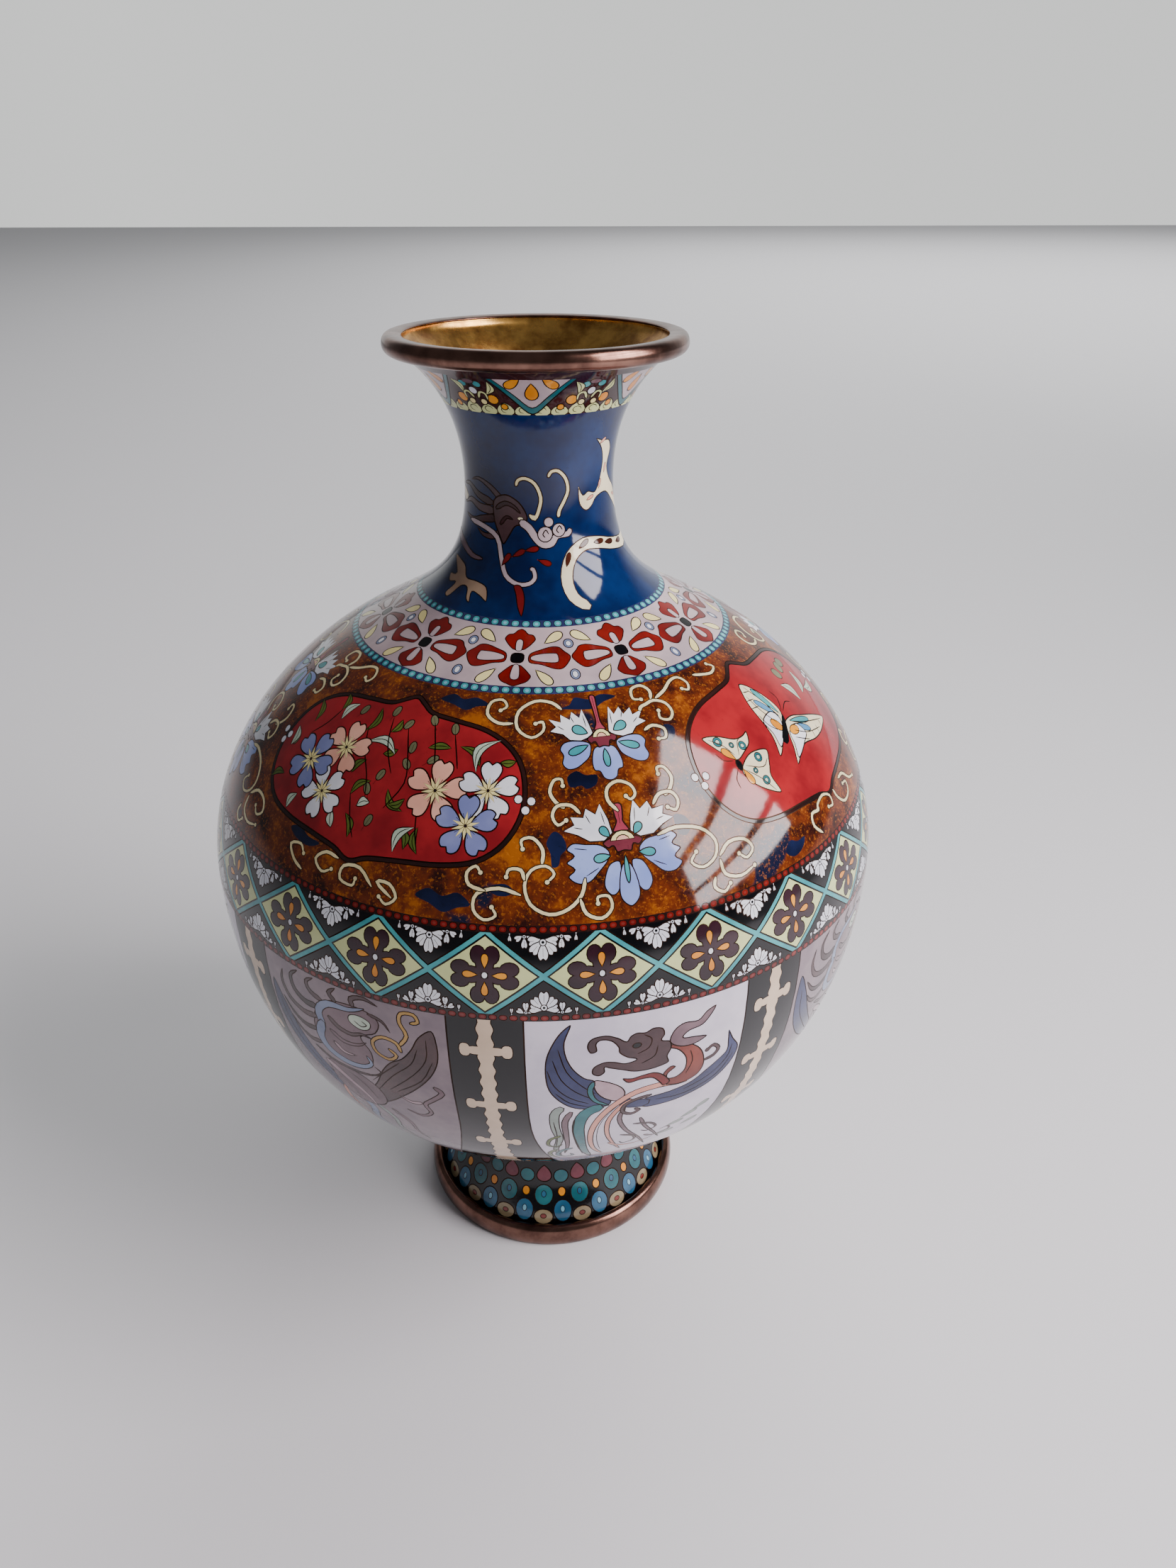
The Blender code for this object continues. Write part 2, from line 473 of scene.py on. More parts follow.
# %% The foot's petals
BLUE_COLUMN = 4.6
SAND_COLUMN = 14.6
foot = Band(0.0, 24.0, 20.0, -5.4, "black")
for shape, column, s, paint, wire in (
    (oval(5.6, 6.9, 16), BLUE_COLUMN, 7.9, "sea_blue", WIRE),
    (oval(1.5, 2.2, 10), BLUE_COLUMN, 8.4, "sky", 0.2),
    (oval(2.6, 3.2, 12), BLUE_COLUMN, 13.6, "orange", WIRE),
    (oval(4.6, 4.4, 14), BLUE_COLUMN, 18.4, "teal", WIRE),
    (oval(6.0, 4.8, 16), SAND_COLUMN, 6.2, "sand", WIRE),
    (oval(2.0, 1.6, 10), SAND_COLUMN, 6.4, "brick", 0.2),
    (oval(5.7, 6.6, 16), SAND_COLUMN, 12.7, "teal", WIRE),
    (oval(1.6, 2.2, 10), SAND_COLUMN, 13.0, "sea_blue", 0.2),
    (drop(5.4, 4.6, 0.4), SAND_COLUMN, 16.6, "rose_dark", WIRE),
):
    foot.cell(lay(shape, column, s), paint, wire)
foot.hang(18)

# %% [markdown]
# ## Waist and underside
# This part is hidden under the belly, so its drawing is a guess and is kept plain: a band of
# upright lappets with a red heart and a yellow drop, in the colours of the rest. A lappet is
# a right half and its mirror image, and the heart is the same outline made smaller.

# %% Lappets of the underside
HEART_SHARE = 0.62
under = Band(24.0, 56.0, 15.0, -7.5, "deep_blue")
lappet = mirrored([(0.0, 52.5), (2.2, 50.8), (4.6, 46.5), (5.2, 40.5), (4.4, 33.0), (3.4, 27.0)])
under.cell(smooth(lappet), "lilac")
under.cell(smooth(HEART_SHARE * (lappet - [0.0, 38.0]) + [0.0, 38.5]), "dark_red")
under.cell(lay(drop(6.0, 3.2), 0.0, 36.5), "pale_yellow")
for s in (52.0, 30.0):
    under.cell(lay(oval(2.0, 2.0), 7.5, s), "turquoise")
under.hang(24)


# %% [markdown]
# ## The lower register
# Eight panels with rounded feet, white and lilac in turn, hang between eight black strips. A
# knotted pale branch with short cross arms climbs each strip. A branch is one cell of many
# overlapping loops, a stem and two ovals for the ends of each arm, so that one wire runs
# round them all.

# %% Strips, branches and the panels' ground
STRIP = -9.2
PANEL = 45.0
BRANCH_ARMS = (139.3, 121.8, 104.6)
STEM_HALF = 1.75
KNOT = 0.28
KNOT_EVERY = 3.9
FOOT_SPREAD = 3.4
SPREAD_BELOW = 108.0
STEM_LOW, STEM_HIGH = 63.0, 148.5
panel_edge = mirrored([
    (0.0, 150.0), (17.1, 150.0), (17.1, 149.0), (17.1, 130.0), (16.8, 112.0), (15.4, 100.0),
    (13.4, 90.0), (10.9, 80.0), (7.6, 71.5), (3.5, 67.0), (0.0, 66.0),
])


def branch(theta):
    """A knotted stem: its half width is a sine along it, plus a power that widens its foot.

    Its lower end is rounded by a square root.
    """
    s = np.linspace(STEM_LOW, STEM_HIGH, 120)
    foot_swell = FOOT_SPREAD * np.clip((SPREAD_BELOW - s) / 45.0, 0.0, 1.0) ** 1.6
    half = STEM_HALF + KNOT * np.sin(2 * math.pi * s / KNOT_EVERY) + foot_swell
    half *= np.sqrt(np.clip((s - (STEM_LOW - 1.0)) / 5.0, 0.05, 1.0))
    right = np.stack([theta + half / mm_per_degree(s), s], axis=1)
    left = np.stack([theta - half / mm_per_degree(s), s], axis=1)
    return np.vstack([right, left[::-1]])


lower = Band(57.8, 147.8, 2 * PANEL, -16.0, "black", 3.2)
for number, ground in enumerate(("panel_white", "mauve")):
    middle = STRIP + number * PANEL
    limbs = [branch(middle)]
    for arm in BRANCH_ARMS:
        for way in (-1.0, 1.0):
            limbs.append(lay(oval(5.0, 2.7), middle + 1.5 * way, arm))
            limbs.append(lay(oval(2.7, 4.0, 14, 0.8), middle + 3.05 * way, arm))
    lower.group(limbs, "branch", 0.2)
    lower.cell(smooth(panel_edge + [middle + 0.5 * PANEL, 0.0], finer=3), ground, 0.35)
print("panels:", len(lower.loops), "loops in a repeat of two")


# %% [markdown]
# ## Birds and beasts in the panels
# The panels take turns. The white one has a bird seen from the front, with navy wings spread
# like a crescent and a trailing tail. The lilac one has a coiled beast's head with a folded
# wing and a gold cloud scroll. Both are traditional figures. A wire worker draws them in long
# bends, so here each is a few smooth cells, strokes that taper, and bare wires for feathers.

# %% Strokes in any paint
def ribbon(band, points, width, paint, tip=0.5, wire=0.24, ball=0.0):
    """A wired stroke along a curve through chart points, with a round knob at its end."""
    path = smooth(points, False, 3)
    loops = [stroke(path, width, tip)]
    if ball:
        loops.append(lay(oval(ball, ball, 10), *path[-1]))
    band.group(loops, paint, wire)


def hairs(band, curves, width=0.26):
    """Bare wires along curves through chart points."""
    for points in curves:
        band.line(smooth(points, False, 3), width)


example = smooth([(0.0, 100.0), (4.0, 104.0), (8.0, 100.0)], False, 3)
print("a stroke through three points:", len(stroke(example, 1.0)), "corners")

# %% [markdown]
# The bird's wings and its tail come first, because its neck and the curls lie over them.

# %% The crescent bird's wings and tail
lower.cell(smooth([
    (2.9, 146.6), (1.3, 144.6), (0.0, 141.0), (-0.8, 137.0), (-0.9, 132.0), (-0.4, 127.5),
    (1.0, 123.8), (3.0, 121.0), (5.4, 119.9), (8.6, 120.4), (9.0, 123.4), (7.2, 126.4),
    (6.4, 129.8), (4.8, 131.2), (3.2, 134.2), (2.2, 138.0), (2.0, 142.0)]), "navy")
hairs(lower, [
    [(-0.6, 134.0), (0.4, 129.0), (2.6, 124.8), (5.6, 122.0)],
    [(0.2, 137.0), (1.4, 131.0), (3.6, 126.6), (6.6, 123.2)],
    [(1.0, 140.0), (2.2, 133.4), (4.4, 128.6), (6.6, 125.4)],
    [(0.6, 126.4), (2.6, 123.0), (5.6, 120.8)],
])
lower.cell(smooth([
    (27.5, 135.8), (28.6, 132.6), (29.9, 129.4), (29.7, 126.0), (28.4, 122.5), (25.6, 119.0),
    (21.2, 117.0), (17.6, 116.6), (14.8, 117.0), (13.6, 118.8), (14.6, 120.8), (18.4, 121.2),
    (22.0, 122.4), (24.6, 125.2), (26.4, 127.2), (27.7, 129.2), (27.6, 132.4)]), "navy")
ribbon(lower, [(10.6, 121.6), (12.4, 119.6), (15.4, 118.8)], 3.2, "navy", 1.0)
hairs(lower, [
    [(28.6, 130.6), (28.0, 126.4), (25.2, 122.4), (21.0, 120.2)],
    [(29.2, 127.4), (26.6, 121.6), (21.4, 118.6), (16.4, 119.2)],
])
lower.cell(smooth([
    (6.3, 130.0), (8.6, 128.8), (10.6, 126.4), (11.2, 123.6), (10.0, 121.6), (7.8, 123.4),
    (6.4, 126.6)]), "blush")
ribbon(lower, [(6.2, 129.6), (5.7, 126.4), (6.6, 122.8), (8.8, 120.4)], 1.5, "teal")
ribbon(lower, [
    (7.8, 120.6), (5.2, 118.2), (4.2, 113.0), (4.6, 106.0), (5.6, 98.0), (7.4, 90.0)],
    3.2, "teal", 0.3)
ribbon(lower, [
    (1.6, 121.4), (0.4, 118.4), (0.5, 112.4), (1.2, 106.4), (0.6, 100.0), (1.6, 94.0)],
    2.4, "leaf_dull", 0.3)
ribbon(lower, [(3.0, 119.4), (2.0, 115.0), (2.3, 108.4), (2.6, 102.0), (2.2, 96.0)], 1.7, "plum_grey", 0.3)
hairs(lower, [
    [(3.6, 116.6), (3.4, 110.0), (4.4, 102.0), (5.6, 94.0)],
    [(0.2, 115.4), (0.8, 108.0), (0.6, 101.0)],
])
ribbon(lower, [
    (21.4, 123.4), (17.0, 124.5), (13.0, 123.8), (10.2, 121.0), (8.0, 117.0), (6.6, 111.5),
    (6.4, 105.0), (7.4, 98.0), (9.4, 92.0)], 2.1, "salmon", 0.4)
ribbon(lower, [
    (12.4, 121.4), (10.4, 118.4), (9.0, 113.5), (9.2, 107.0), (10.8, 100.0), (12.8, 93.6)],
    1.5, "salmon", 0.4)
hairs(lower, [[(19.0, 124.0), (13.0, 122.8), (9.6, 118.6), (7.6, 112.0), (7.6, 104.0), (8.8, 96.0)]], 0.2)
ribbon(lower, [
    (11.4, 118.6), (10.8, 113.8), (12.4, 107.4), (15.4, 100.6), (17.8, 93.0)],
    1.3, "plum_grey", 0.3)
ribbon(lower, [(14.4, 112.6), (15.8, 107.4), (18.2, 101.6), (20.2, 96.0)], 1.1, "plum_grey", 0.3)
for theta, s, turn in (
    (22.6, 105.6, 60), (20.2, 103.0, 70), (24.6, 108.2, 55), (19.0, 98.6, 75), (23.6, 100.6, 60),
):
    lower.cell(lay(petal(4.8, 2.0, 0.4), theta, s, turn), "leaf_dull", 0.2)
print("wings and tail:", len(lower.loops), "loops so far")

# %% [markdown]
# Its neck is a russet ring, with a long head like a curled leaf and a crest that flies
# behind it. The last cells are curls at the tips of the tail.

# %% The crescent bird's head and curls
lower.cell(smooth([
    (17.4, 136.2), (19.0, 134.6), (20.3, 131.6), (20.4, 128.0), (19.2, 126.2), (17.8, 126.4),
    (17.8, 128.0), (18.9, 129.5), (18.0, 130.2), (16.9, 128.4), (16.8, 126.0), (17.8, 123.9),
    (20.2, 123.0), (22.8, 124.2), (23.8, 127.2), (23.4, 131.2), (22.2, 134.2), (20.2, 136.4),
    (18.4, 137.2)]), "russet")
lower.cell(smooth([
    (10.5, 129.4), (11.5, 127.5), (13.4, 127.9), (15.2, 127.6), (16.5, 125.4), (17.2, 124.0),
    (18.3, 125.0), (17.0, 128.0), (15.4, 129.5), (13.6, 129.4), (12.0, 129.0)]), "dark_red")
lower.cell(smooth([
    (17.4, 137.8), (18.0, 141.0), (19.6, 142.4), (21.8, 142.0), (23.1, 143.8), (24.7, 144.6),
    (24.0, 142.4), (22.6, 140.2), (20.5, 139.6), (19.6, 138.2), (21.4, 137.6), (23.6, 136.6),
    (21.6, 135.2), (19.2, 135.6)]), "plum_grey")
lower.cell(smooth([
    (5.6, 138.4), (5.1, 140.5), (5.8, 142.5), (7.8, 143.0), (9.6, 141.9), (10.8, 140.6),
    (11.4, 141.9), (12.4, 142.5), (13.6, 142.2), (14.8, 143.0), (16.2, 142.4), (16.6, 140.5),
    (16.2, 139.0), (17.5, 138.2), (17.8, 136.0), (17.3, 133.8), (17.6, 131.8), (16.2, 131.0),
    (14.2, 130.7), (12.2, 131.0), (10.6, 132.0), (8.6, 133.2), (7.8, 133.7), (7.8, 132.2),
    (6.9, 131.2), (5.9, 132.2), (6.1, 134.2), (7.6, 135.4), (9.2, 135.1), (10.8, 134.2),
    (12.4, 134.8), (11.0, 135.8), (9.8, 137.5), (9.6, 139.2), (8.6, 141.1), (7.2, 141.7),
    (6.5, 140.8), (6.6, 138.8)]), "umber")
lower.cell(lay(oval(2.2, 1.7, 10), 12.4, 138.9), "black", 0.2)
hairs(lower, [
    [(13.4, 141.6), (14.6, 140.0), (14.2, 137.6), (12.6, 136.4)],
    [(15.6, 137.6), (15.2, 134.8), (13.2, 133.2)], [(21.0, 133.6), (21.6, 130.0), (20.8, 126.2)],
])
ribbon(lower, [
    (15.6, 121.6), (13.0, 121.0), (11.3, 119.4), (11.1, 116.9), (12.6, 115.3), (13.8, 116.4),
    (13.0, 117.4)], 1.15, "umber", 0.9)
ribbon(lower, [
    (23.6, 128.8), (25.3, 129.4), (26.0, 131.2), (25.0, 132.8), (24.0, 131.9)],
    1.15, "umber", 0.9, ball=1.4)
for points, width, paint in (
    ([(3.6, 100.0), (1.8, 98.6), (0.9, 95.0), (2.2, 92.4), (3.8, 93.6), (3.2, 95.4)], 1.3, "teal"),
    ([(1.4, 108.4), (-0.4, 106.4), (-0.7, 103.0), (0.7, 101.6), (1.7, 103.2)], 1.2, "leaf_green"),
    ([(0.8, 99.6), (-0.5, 97.0), (0.0, 93.6), (1.4, 91.0)], 1.3, "leaf_green"),
    ([(11.6, 105.0), (14.2, 102.8), (14.6, 99.6), (12.8, 98.6), (11.9, 100.4)], 0.9, "umber"),
    ([(13.4, 110.0), (16.6, 108.4), (18.0, 105.4), (16.6, 104.0), (15.3, 105.2)], 0.9, "umber"),
    ([(9.8, 101.0), (12.0, 97.6), (15.4, 96.4), (18.6, 98.4)], 1.0, "salmon"),
    ([(16.4, 101.4), (18.4, 99.4), (21.2, 100.6), (20.8, 102.8), (19.2, 102.4)], 0.9, "plum_grey"),
):
    ribbon(lower, points, width, paint, 0.4, 0.2)
print("crescent bird:", len(lower.loops), "loops so far")

# %% [markdown]
# The head of the beast in the lilac panel lies over its wings and its tail, so those are
# drawn first and the head covers their ends.

# %% The coiled beast's wings and tail
lower.cell(smooth([
    (-17.0, 143.0), (-16.3, 139.0), (-16.5, 134.0), (-17.9, 129.0), (-20.4, 124.0), (-23.6, 119.0),
    (-27.6, 113.6), (-30.4, 112.4), (-30.0, 117.0), (-28.0, 122.0), (-26.4, 126.8), (-24.6, 130.4),
    (-22.4, 132.8), (-20.6, 136.4), (-19.2, 140.4)]), "umber")
hairs(lower, [
    [(-18.0, 140.0), (-18.4, 134.0), (-21.0, 128.0), (-26.0, 120.0)],
    [(-19.6, 136.6), (-21.0, 131.6), (-24.6, 126.0), (-28.6, 118.0)],
    [(-17.4, 133.6), (-19.8, 126.6), (-24.6, 120.2)],
    [(-23.0, 131.0), (-25.6, 127.0), (-29.0, 121.4)],
])
lower.cell(smooth([
    (-47.4, 140.0), (-48.0, 133.0), (-46.8, 125.0), (-43.8, 118.0), (-39.8, 112.4), (-37.2, 110.8),
    (-38.2, 116.4), (-40.8, 121.6), (-43.2, 127.4), (-45.2, 134.0)]), "navy")
hairs(lower, [[(-46.6, 135.0), (-45.4, 127.0), (-42.0, 119.6), (-38.4, 113.6)]])
ribbon(lower, [
    (-34.2, 112.6), (-32.6, 106.0), (-34.0, 99.0), (-31.8, 91.0), (-33.2, 84.0)],
    2.6, "slate_blue", 0.3)
ribbon(lower, [(-37.4, 112.0), (-38.0, 105.6), (-36.4, 99.0), (-37.4, 92.4)], 1.8, "salmon", 0.3)
ribbon(lower, [(-30.8, 110.0), (-28.4, 104.6), (-29.0, 98.0), (-26.8, 91.6)], 1.9, "leaf_dull", 0.3)
ribbon(lower, [(-27.6, 110.6), (-25.0, 105.6), (-24.8, 100.0), (-23.2, 95.6)], 1.5, "plum_grey", 0.3)
lower.cell(smooth([
    (-37.6, 122.6), (-32.4, 122.2), (-28.8, 119.4), (-27.6, 114.6), (-29.4, 110.4), (-33.4, 108.4),
    (-36.8, 110.6), (-38.4, 116.4)]), "plum_grey")
ribbon(lower, [(-38.8, 121.4), (-35.0, 117.4), (-32.0, 113.0), (-31.0, 108.6)], 2.2, "blush", 0.4)
hairs(lower, [
    [(-34.0, 121.0), (-31.0, 117.6), (-29.6, 113.0)],
    [(-37.0, 118.0), (-34.8, 113.6), (-34.2, 110.0)],
])
print("wings and tail:", len(lower.loops), "loops so far")

# %% [markdown]
# The head is a plum round under a ring of grey-blue and dark red strokes, a mane that
# stands off it, one pale eye, and the gold scroll before its mouth.

# %% The coiled beast's head, mane and scroll
lower.cell(smooth([
    (-37.2, 139.0), (-34.0, 143.2), (-28.2, 144.2), (-25.4, 142.0), (-26.2, 138.2), (-29.0, 135.6),
    (-27.6, 131.6), (-28.2, 127.0), (-32.0, 124.2), (-36.4, 125.4), (-38.6, 130.0),
    (-38.4, 135.0)]), "plum_grey")
for points, width, paint in (
    ([(-36.8, 139.4), (-39.6, 139.0), (-41.8, 141.0), (-42.2, 144.6), (-40.4, 147.0)], 2.0,
      "maroon"),
    ([(-35.6, 141.8), (-38.0, 143.0), (-38.6, 145.4), (-37.0, 147.2)], 1.7, "umber"),
    ([(-32.8, 143.2), (-34.0, 145.2), (-32.6, 147.2)], 1.6, "maroon"),
    ([(-29.6, 143.8), (-29.8, 146.0), (-27.6, 147.2), (-25.2, 146.2)], 1.5, "umber"),
    ([(-37.4, 136.2), (-40.4, 135.4), (-43.4, 137.0), (-44.8, 141.0), (-44.2, 144.8)], 1.9,
      "umber"),
    ([(-38.0, 131.8), (-41.0, 131.0), (-43.4, 132.6), (-45.4, 136.4)], 1.7, "maroon"),
    ([(-38.0, 127.6), (-40.8, 126.8), (-43.0, 128.6), (-44.4, 131.4)], 1.6, "umber"),
    ([(-27.2, 143.4), (-24.8, 142.4), (-23.6, 139.8)], 1.1, "umber"),
    ([(-36.4, 133.6), (-36.9, 138.4), (-34.6, 141.8), (-30.6, 142.6), (-27.6, 144.4)], 2.5,
      "slate_blue"),
    ([(-36.4, 135.6), (-37.8, 130.4), (-36.6, 126.4), (-33.4, 124.8), (-30.2, 125.4),
      (-28.2, 127.6), (-28.8, 130.0)], 2.8, "slate_blue"),
    ([(-35.0, 138.2), (-33.2, 136.0), (-30.8, 135.4), (-28.8, 136.6), (-27.0, 136.2)], 1.6,
      "umber"),
    ([(-35.2, 134.0), (-32.8, 132.0), (-30.0, 132.6), (-28.2, 134.4)], 1.5, "plum_grey"),
    ([(-35.0, 130.4), (-33.2, 128.2), (-30.8, 128.6)], 1.4, "blush"),
    ([(-40.2, 125.0), (-37.0, 122.8), (-32.8, 122.4), (-29.0, 123.2), (-26.8, 125.4),
      (-27.8, 127.0)], 1.2, "umber"),
):
    ribbon(lower, points, width, paint, 0.3)
lower.cell(smooth([
    (-30.6, 141.2), (-28.8, 142.0), (-26.9, 141.0), (-27.2, 138.8), (-29.0, 137.9),
    (-30.8, 139.2)]), "white_green", 0.24)
hairs(lower, [[(-29.8, 140.0), (-28.6, 139.0), (-27.6, 139.8), (-28.4, 140.6)]])
ribbon(lower, [
    (-22.6, 136.2), (-21.0, 140.0), (-21.9, 143.4), (-21.5, 146.0), (-19.6, 146.4), (-19.0, 144.6),
    (-20.3, 143.8)], 1.2, "gold", 0.9)
ribbon(lower, [
    (-22.2, 134.6), (-22.9, 137.2), (-25.2, 137.8), (-27.0, 135.6), (-26.6, 132.6), (-24.6, 131.4),
    (-23.2, 133.2), (-24.4, 134.9)], 1.2, "gold", 0.9)
ribbon(lower, [
    (-18.0, 125.4), (-16.8, 123.4), (-18.8, 120.0), (-20.2, 117.6), (-19.6, 114.4), (-21.6, 112.0),
    (-24.2, 113.2)], 1.5, "plum_grey", 0.5)
ribbon(lower, [(-20.6, 118.0), (-22.6, 117.2), (-24.6, 118.6)], 1.3, "blush", 0.4)
lower.hang(4)


# %% [markdown]
# ## The band of diamonds
# Turquoise lines cross to make twenty-two diamonds on black. Each holds a dark flower of four
# double lobes with amber drops. In the triangles between them stand small white palmettes:
# fans of notched petals on a ringed foot, a large one, two less and two single petals.

# %% Diamonds and palmettes
DIAMOND = 360.0 / 22
DIAMOND_MIDDLE = 7.4
DIAMOND_LOW = 149.4
DIAMOND_HIGH = 167.2


def rhombus(half_width, half_height, theta, s):
    """Four straight sides, each cut in five so that they bend with the wall."""
    ends = np.array([(0, half_height), (-half_width, 0), (0, -half_height), (half_width, 0)], float)
    t = np.linspace(0.0, 1.0, 5, endpoint=False)[None, :, None]
    sides = ends[:, None] * (1 - t) + np.roll(ends, -1, axis=0)[:, None] * t
    return sides.reshape(-1, 2) + [theta, s]


# Across, rise and reach of each fan in millimetres, and the degrees that its petals lean
FANS = (
    (-6.6, -0.2, 2.0, (0.0,)), (6.6, -0.2, 2.0, (0.0,)),
    (-3.7, 0.2, 3.0, (-58.0, 58.0, 0.0)), (3.7, 0.2, 3.0, (-58.0, 58.0, 0.0)),
    (0.0, 1.1, 4.6, (-78.0, 78.0, -38.0, 38.0, 0.0)),
)
# The right half of a notched petal, for a width of two and a height of one
PETAL_HALF = np.array([
    (0.0, 0.9), (0.32, 1.0), (0.76, 0.93), (1.0, 0.74), (0.84, 0.5), (0.38, 0.24), (0.0, 0.0),
])


def shaped(half, width, height, finer=2):
    """A right half of unit size, mirrored, smoothed and stretched to a width and a height."""
    return smooth(mirrored(half * [0.5 * width, height]), finer=finer)


def palmette(band, theta, s, turn):
    """Small white fans along a band's edge, each of notched petals on a ringed foot."""
    for across, rise, reach, ways in FANS:
        root = np.array([across, rise])
        for way in ways:
            length = reach * (1.0 - 0.004 * abs(way))
            notched = spun(shaped(PETAL_HALF, 0.52 * reach, length), way)
            band.cell(lay(root + notched, theta, s, turn), "white", 0.22)
            vein = spun(np.array([(0.0, 0.4 * reach), (0.0, 0.8 * reach)]), way)
            band.line(lay(root + vein, theta, s, turn), 0.16)
        if len(ways) > 1:
            middle = [0.0, 0.14 * reach]
            ring = root + oval(0.36 * reach, 0.36 * reach, 10) + middle
            band.cell(lay(ring, theta, s, turn), "white", 0.2)
            eye = root + oval(0.14 * reach, 0.14 * reach, 6) + middle
            band.fill(lay(eye, theta, s, turn), "black")


print("palmette:", len(FANS), "fans")

# %% [markdown]
# One repeat has a diamond in its middle and half a triangle at each side. The diamond is
# three rhombs in one another: its turquoise edge, a black line and its pale green field.

# %% The repeat of a diamond
diamonds = Band(DIAMOND_LOW, DIAMOND_HIGH, DIAMOND, DIAMOND_MIDDLE - 0.5 * DIAMOND, "black")
level = 0.5 * (DIAMOND_LOW + DIAMOND_HIGH) - 0.1
for edge, turn in ((DIAMOND_HIGH, 180.0), (DIAMOND_LOW, 0.0)):
    palmette(diamonds, DIAMOND_MIDDLE - 0.5 * DIAMOND, edge, turn)
diamonds.cell(rhombus(9.05, 10.2, DIAMOND_MIDDLE, level), "turquoise", WIRE)
diamonds.fill(rhombus(7.7, 8.7, DIAMOND_MIDDLE, level), "black")
diamonds.cell(rhombus(7.4, 8.35, DIAMOND_MIDDLE, level), "pale_green", 0.12)
lobes = []
for turn, reach in ((0.0, 4.3), (90.0, 5.0), (180.0, 4.4), (270.0, 5.0)):
    for side in (-1.0, 1.0):
        lobes.append(lay(oval(3.4, 4.2) + [1.4 * side, reach], DIAMOND_MIDDLE, level, turn))
    lobes.append(lay(oval(4.0, 4.6) + [0.0, 0.55 * reach], DIAMOND_MIDDLE, level, turn))
diamonds.group(lobes, "plum", 0.22)
for turn in (0.0, 90.0, 180.0, 270.0):
    tip = petal(3.4, 1.7, 0.5, 14) + [0.0, 1.3]
    diamonds.cell(lay(tip, DIAMOND_MIDDLE, level, turn), "orange", 0.18)
diamonds.cell(lay(oval(1.5, 1.7), DIAMOND_MIDDLE, level), "white", 0.2)
diamonds.hang(22)


# %% [markdown]
# ## The shoulder
# Four bracket-shaped cartouches of red enamel sit on amber glass, with a column of two lotus
# flowers and cream scrolls between each pair. Sprays of flowers and butterflies take turns in
# the cartouches, so the drawing repeats twice round the vase. A cartouche is a right half and
# its mirror image, and its dark border is the same outline moved outwards. Where two glasses
# ran together in the kiln, pools of blue-black lie in the amber: patches without a wire.

# %% Cartouches and pools
COLUMN = 12.4
BORDER = 0.9
CARTOUCHE_HALF = [
    (0.0, 213.9), (2.6, 212.7), (6.0, 210.9), (12.0, 210.1), (19.0, 208.8), (24.0, 206.2),
    (27.3, 202.2), (28.6, 197.0), (28.2, 191.0), (25.6, 185.2), (21.5, 181.4), (16.0, 179.9),
    (9.0, 179.2), (3.4, 178.2), (0.0, 176.6),
]
shoulder = Band(168.8, 218.2, 180.0, -75.0, "amber", 2.6)
spray_place = COLUMN - 45.0
wing_place = COLUMN + 45.0 + 1.0
POOLS = (
    [(1.2, 187.4), (2.6, 186.4), (3.2, 184.0), (2.2, 182.6), (1.8, 180.6), (0.8, 180.4),
     (0.6, 183.0), (0.0, 185.2)],
    [(4.2, 198.6), (6.0, 199.8), (7.6, 198.8), (9.8, 198.6), (9.4, 196.6), (7.6, 195.8),
     (6.6, 196.6), (4.6, 196.4)],
    [(-26.4, 215.0), (-23.4, 216.8), (-20.4, 215.8), (-17.0, 216.6), (-13.4, 215.0), (-16.4, 214.4),
     (-19.0, 213.2), (-22.6, 214.2)],
    [(-20.0, 173.0), (-18.0, 174.8), (-15.8, 173.6), (-13.4, 174.6), (-11.4, 172.4), (-13.4, 171.6),
     (-15.4, 170.4), (-17.6, 171.8)],
    [(-8.6, 176.4), (-6.4, 177.0), (-5.0, 175.6), (-6.2, 174.6), (-8.0, 174.9)],
    [(4.0, 214.4), (6.4, 215.2), (8.0, 217.0), (11.6, 216.2), (14.8, 217.2), (18.6, 216.2),
     (15.0, 215.2), (12.0, 213.8), (7.6, 214.0)],
    [(41.0, 172.0), (42.6, 173.8), (44.4, 172.8), (46.4, 172.8), (45.0, 170.8), (42.6, 170.2)],
    [(-46.4, 177.8), (-44.0, 179.0), (-42.0, 177.8), (-39.0, 177.4), (-41.0, 175.9),
     (-44.2, 176.2)],
    [(22.0, 187.6), (23.8, 187.2), (24.6, 185.0), (23.4, 183.2), (22.0, 184.0)],
    [(25.6, 205.6), (27.4, 207.2), (29.2, 206.0), (28.2, 203.8), (26.4, 203.4)],
)
for pool in POOLS:
    shoulder.fill(smooth(pool), "blue_black")
for place in (spray_place, wing_place):
    edge = smooth(mirrored(CARTOUCHE_HALF)) + [place, 0.0]
    edge = edge if area(edge) > 0 else edge[::-1]
    shoulder.cell(sideways(edge, BORDER, True), "brown_dark", 0.2)
    shoulder.cell(edge, "red")
print("shoulder:", len(POOLS), "pools and 2 cartouches in a repeat")

# %% [markdown]
# Blossoms and leaves are bent from the same few wires again and again. A blossom is notched
# petals round a yellow star, and a leaf is a pointed oval on a bent middle line. Both are
# functions, so that each spray below is only a list of places.

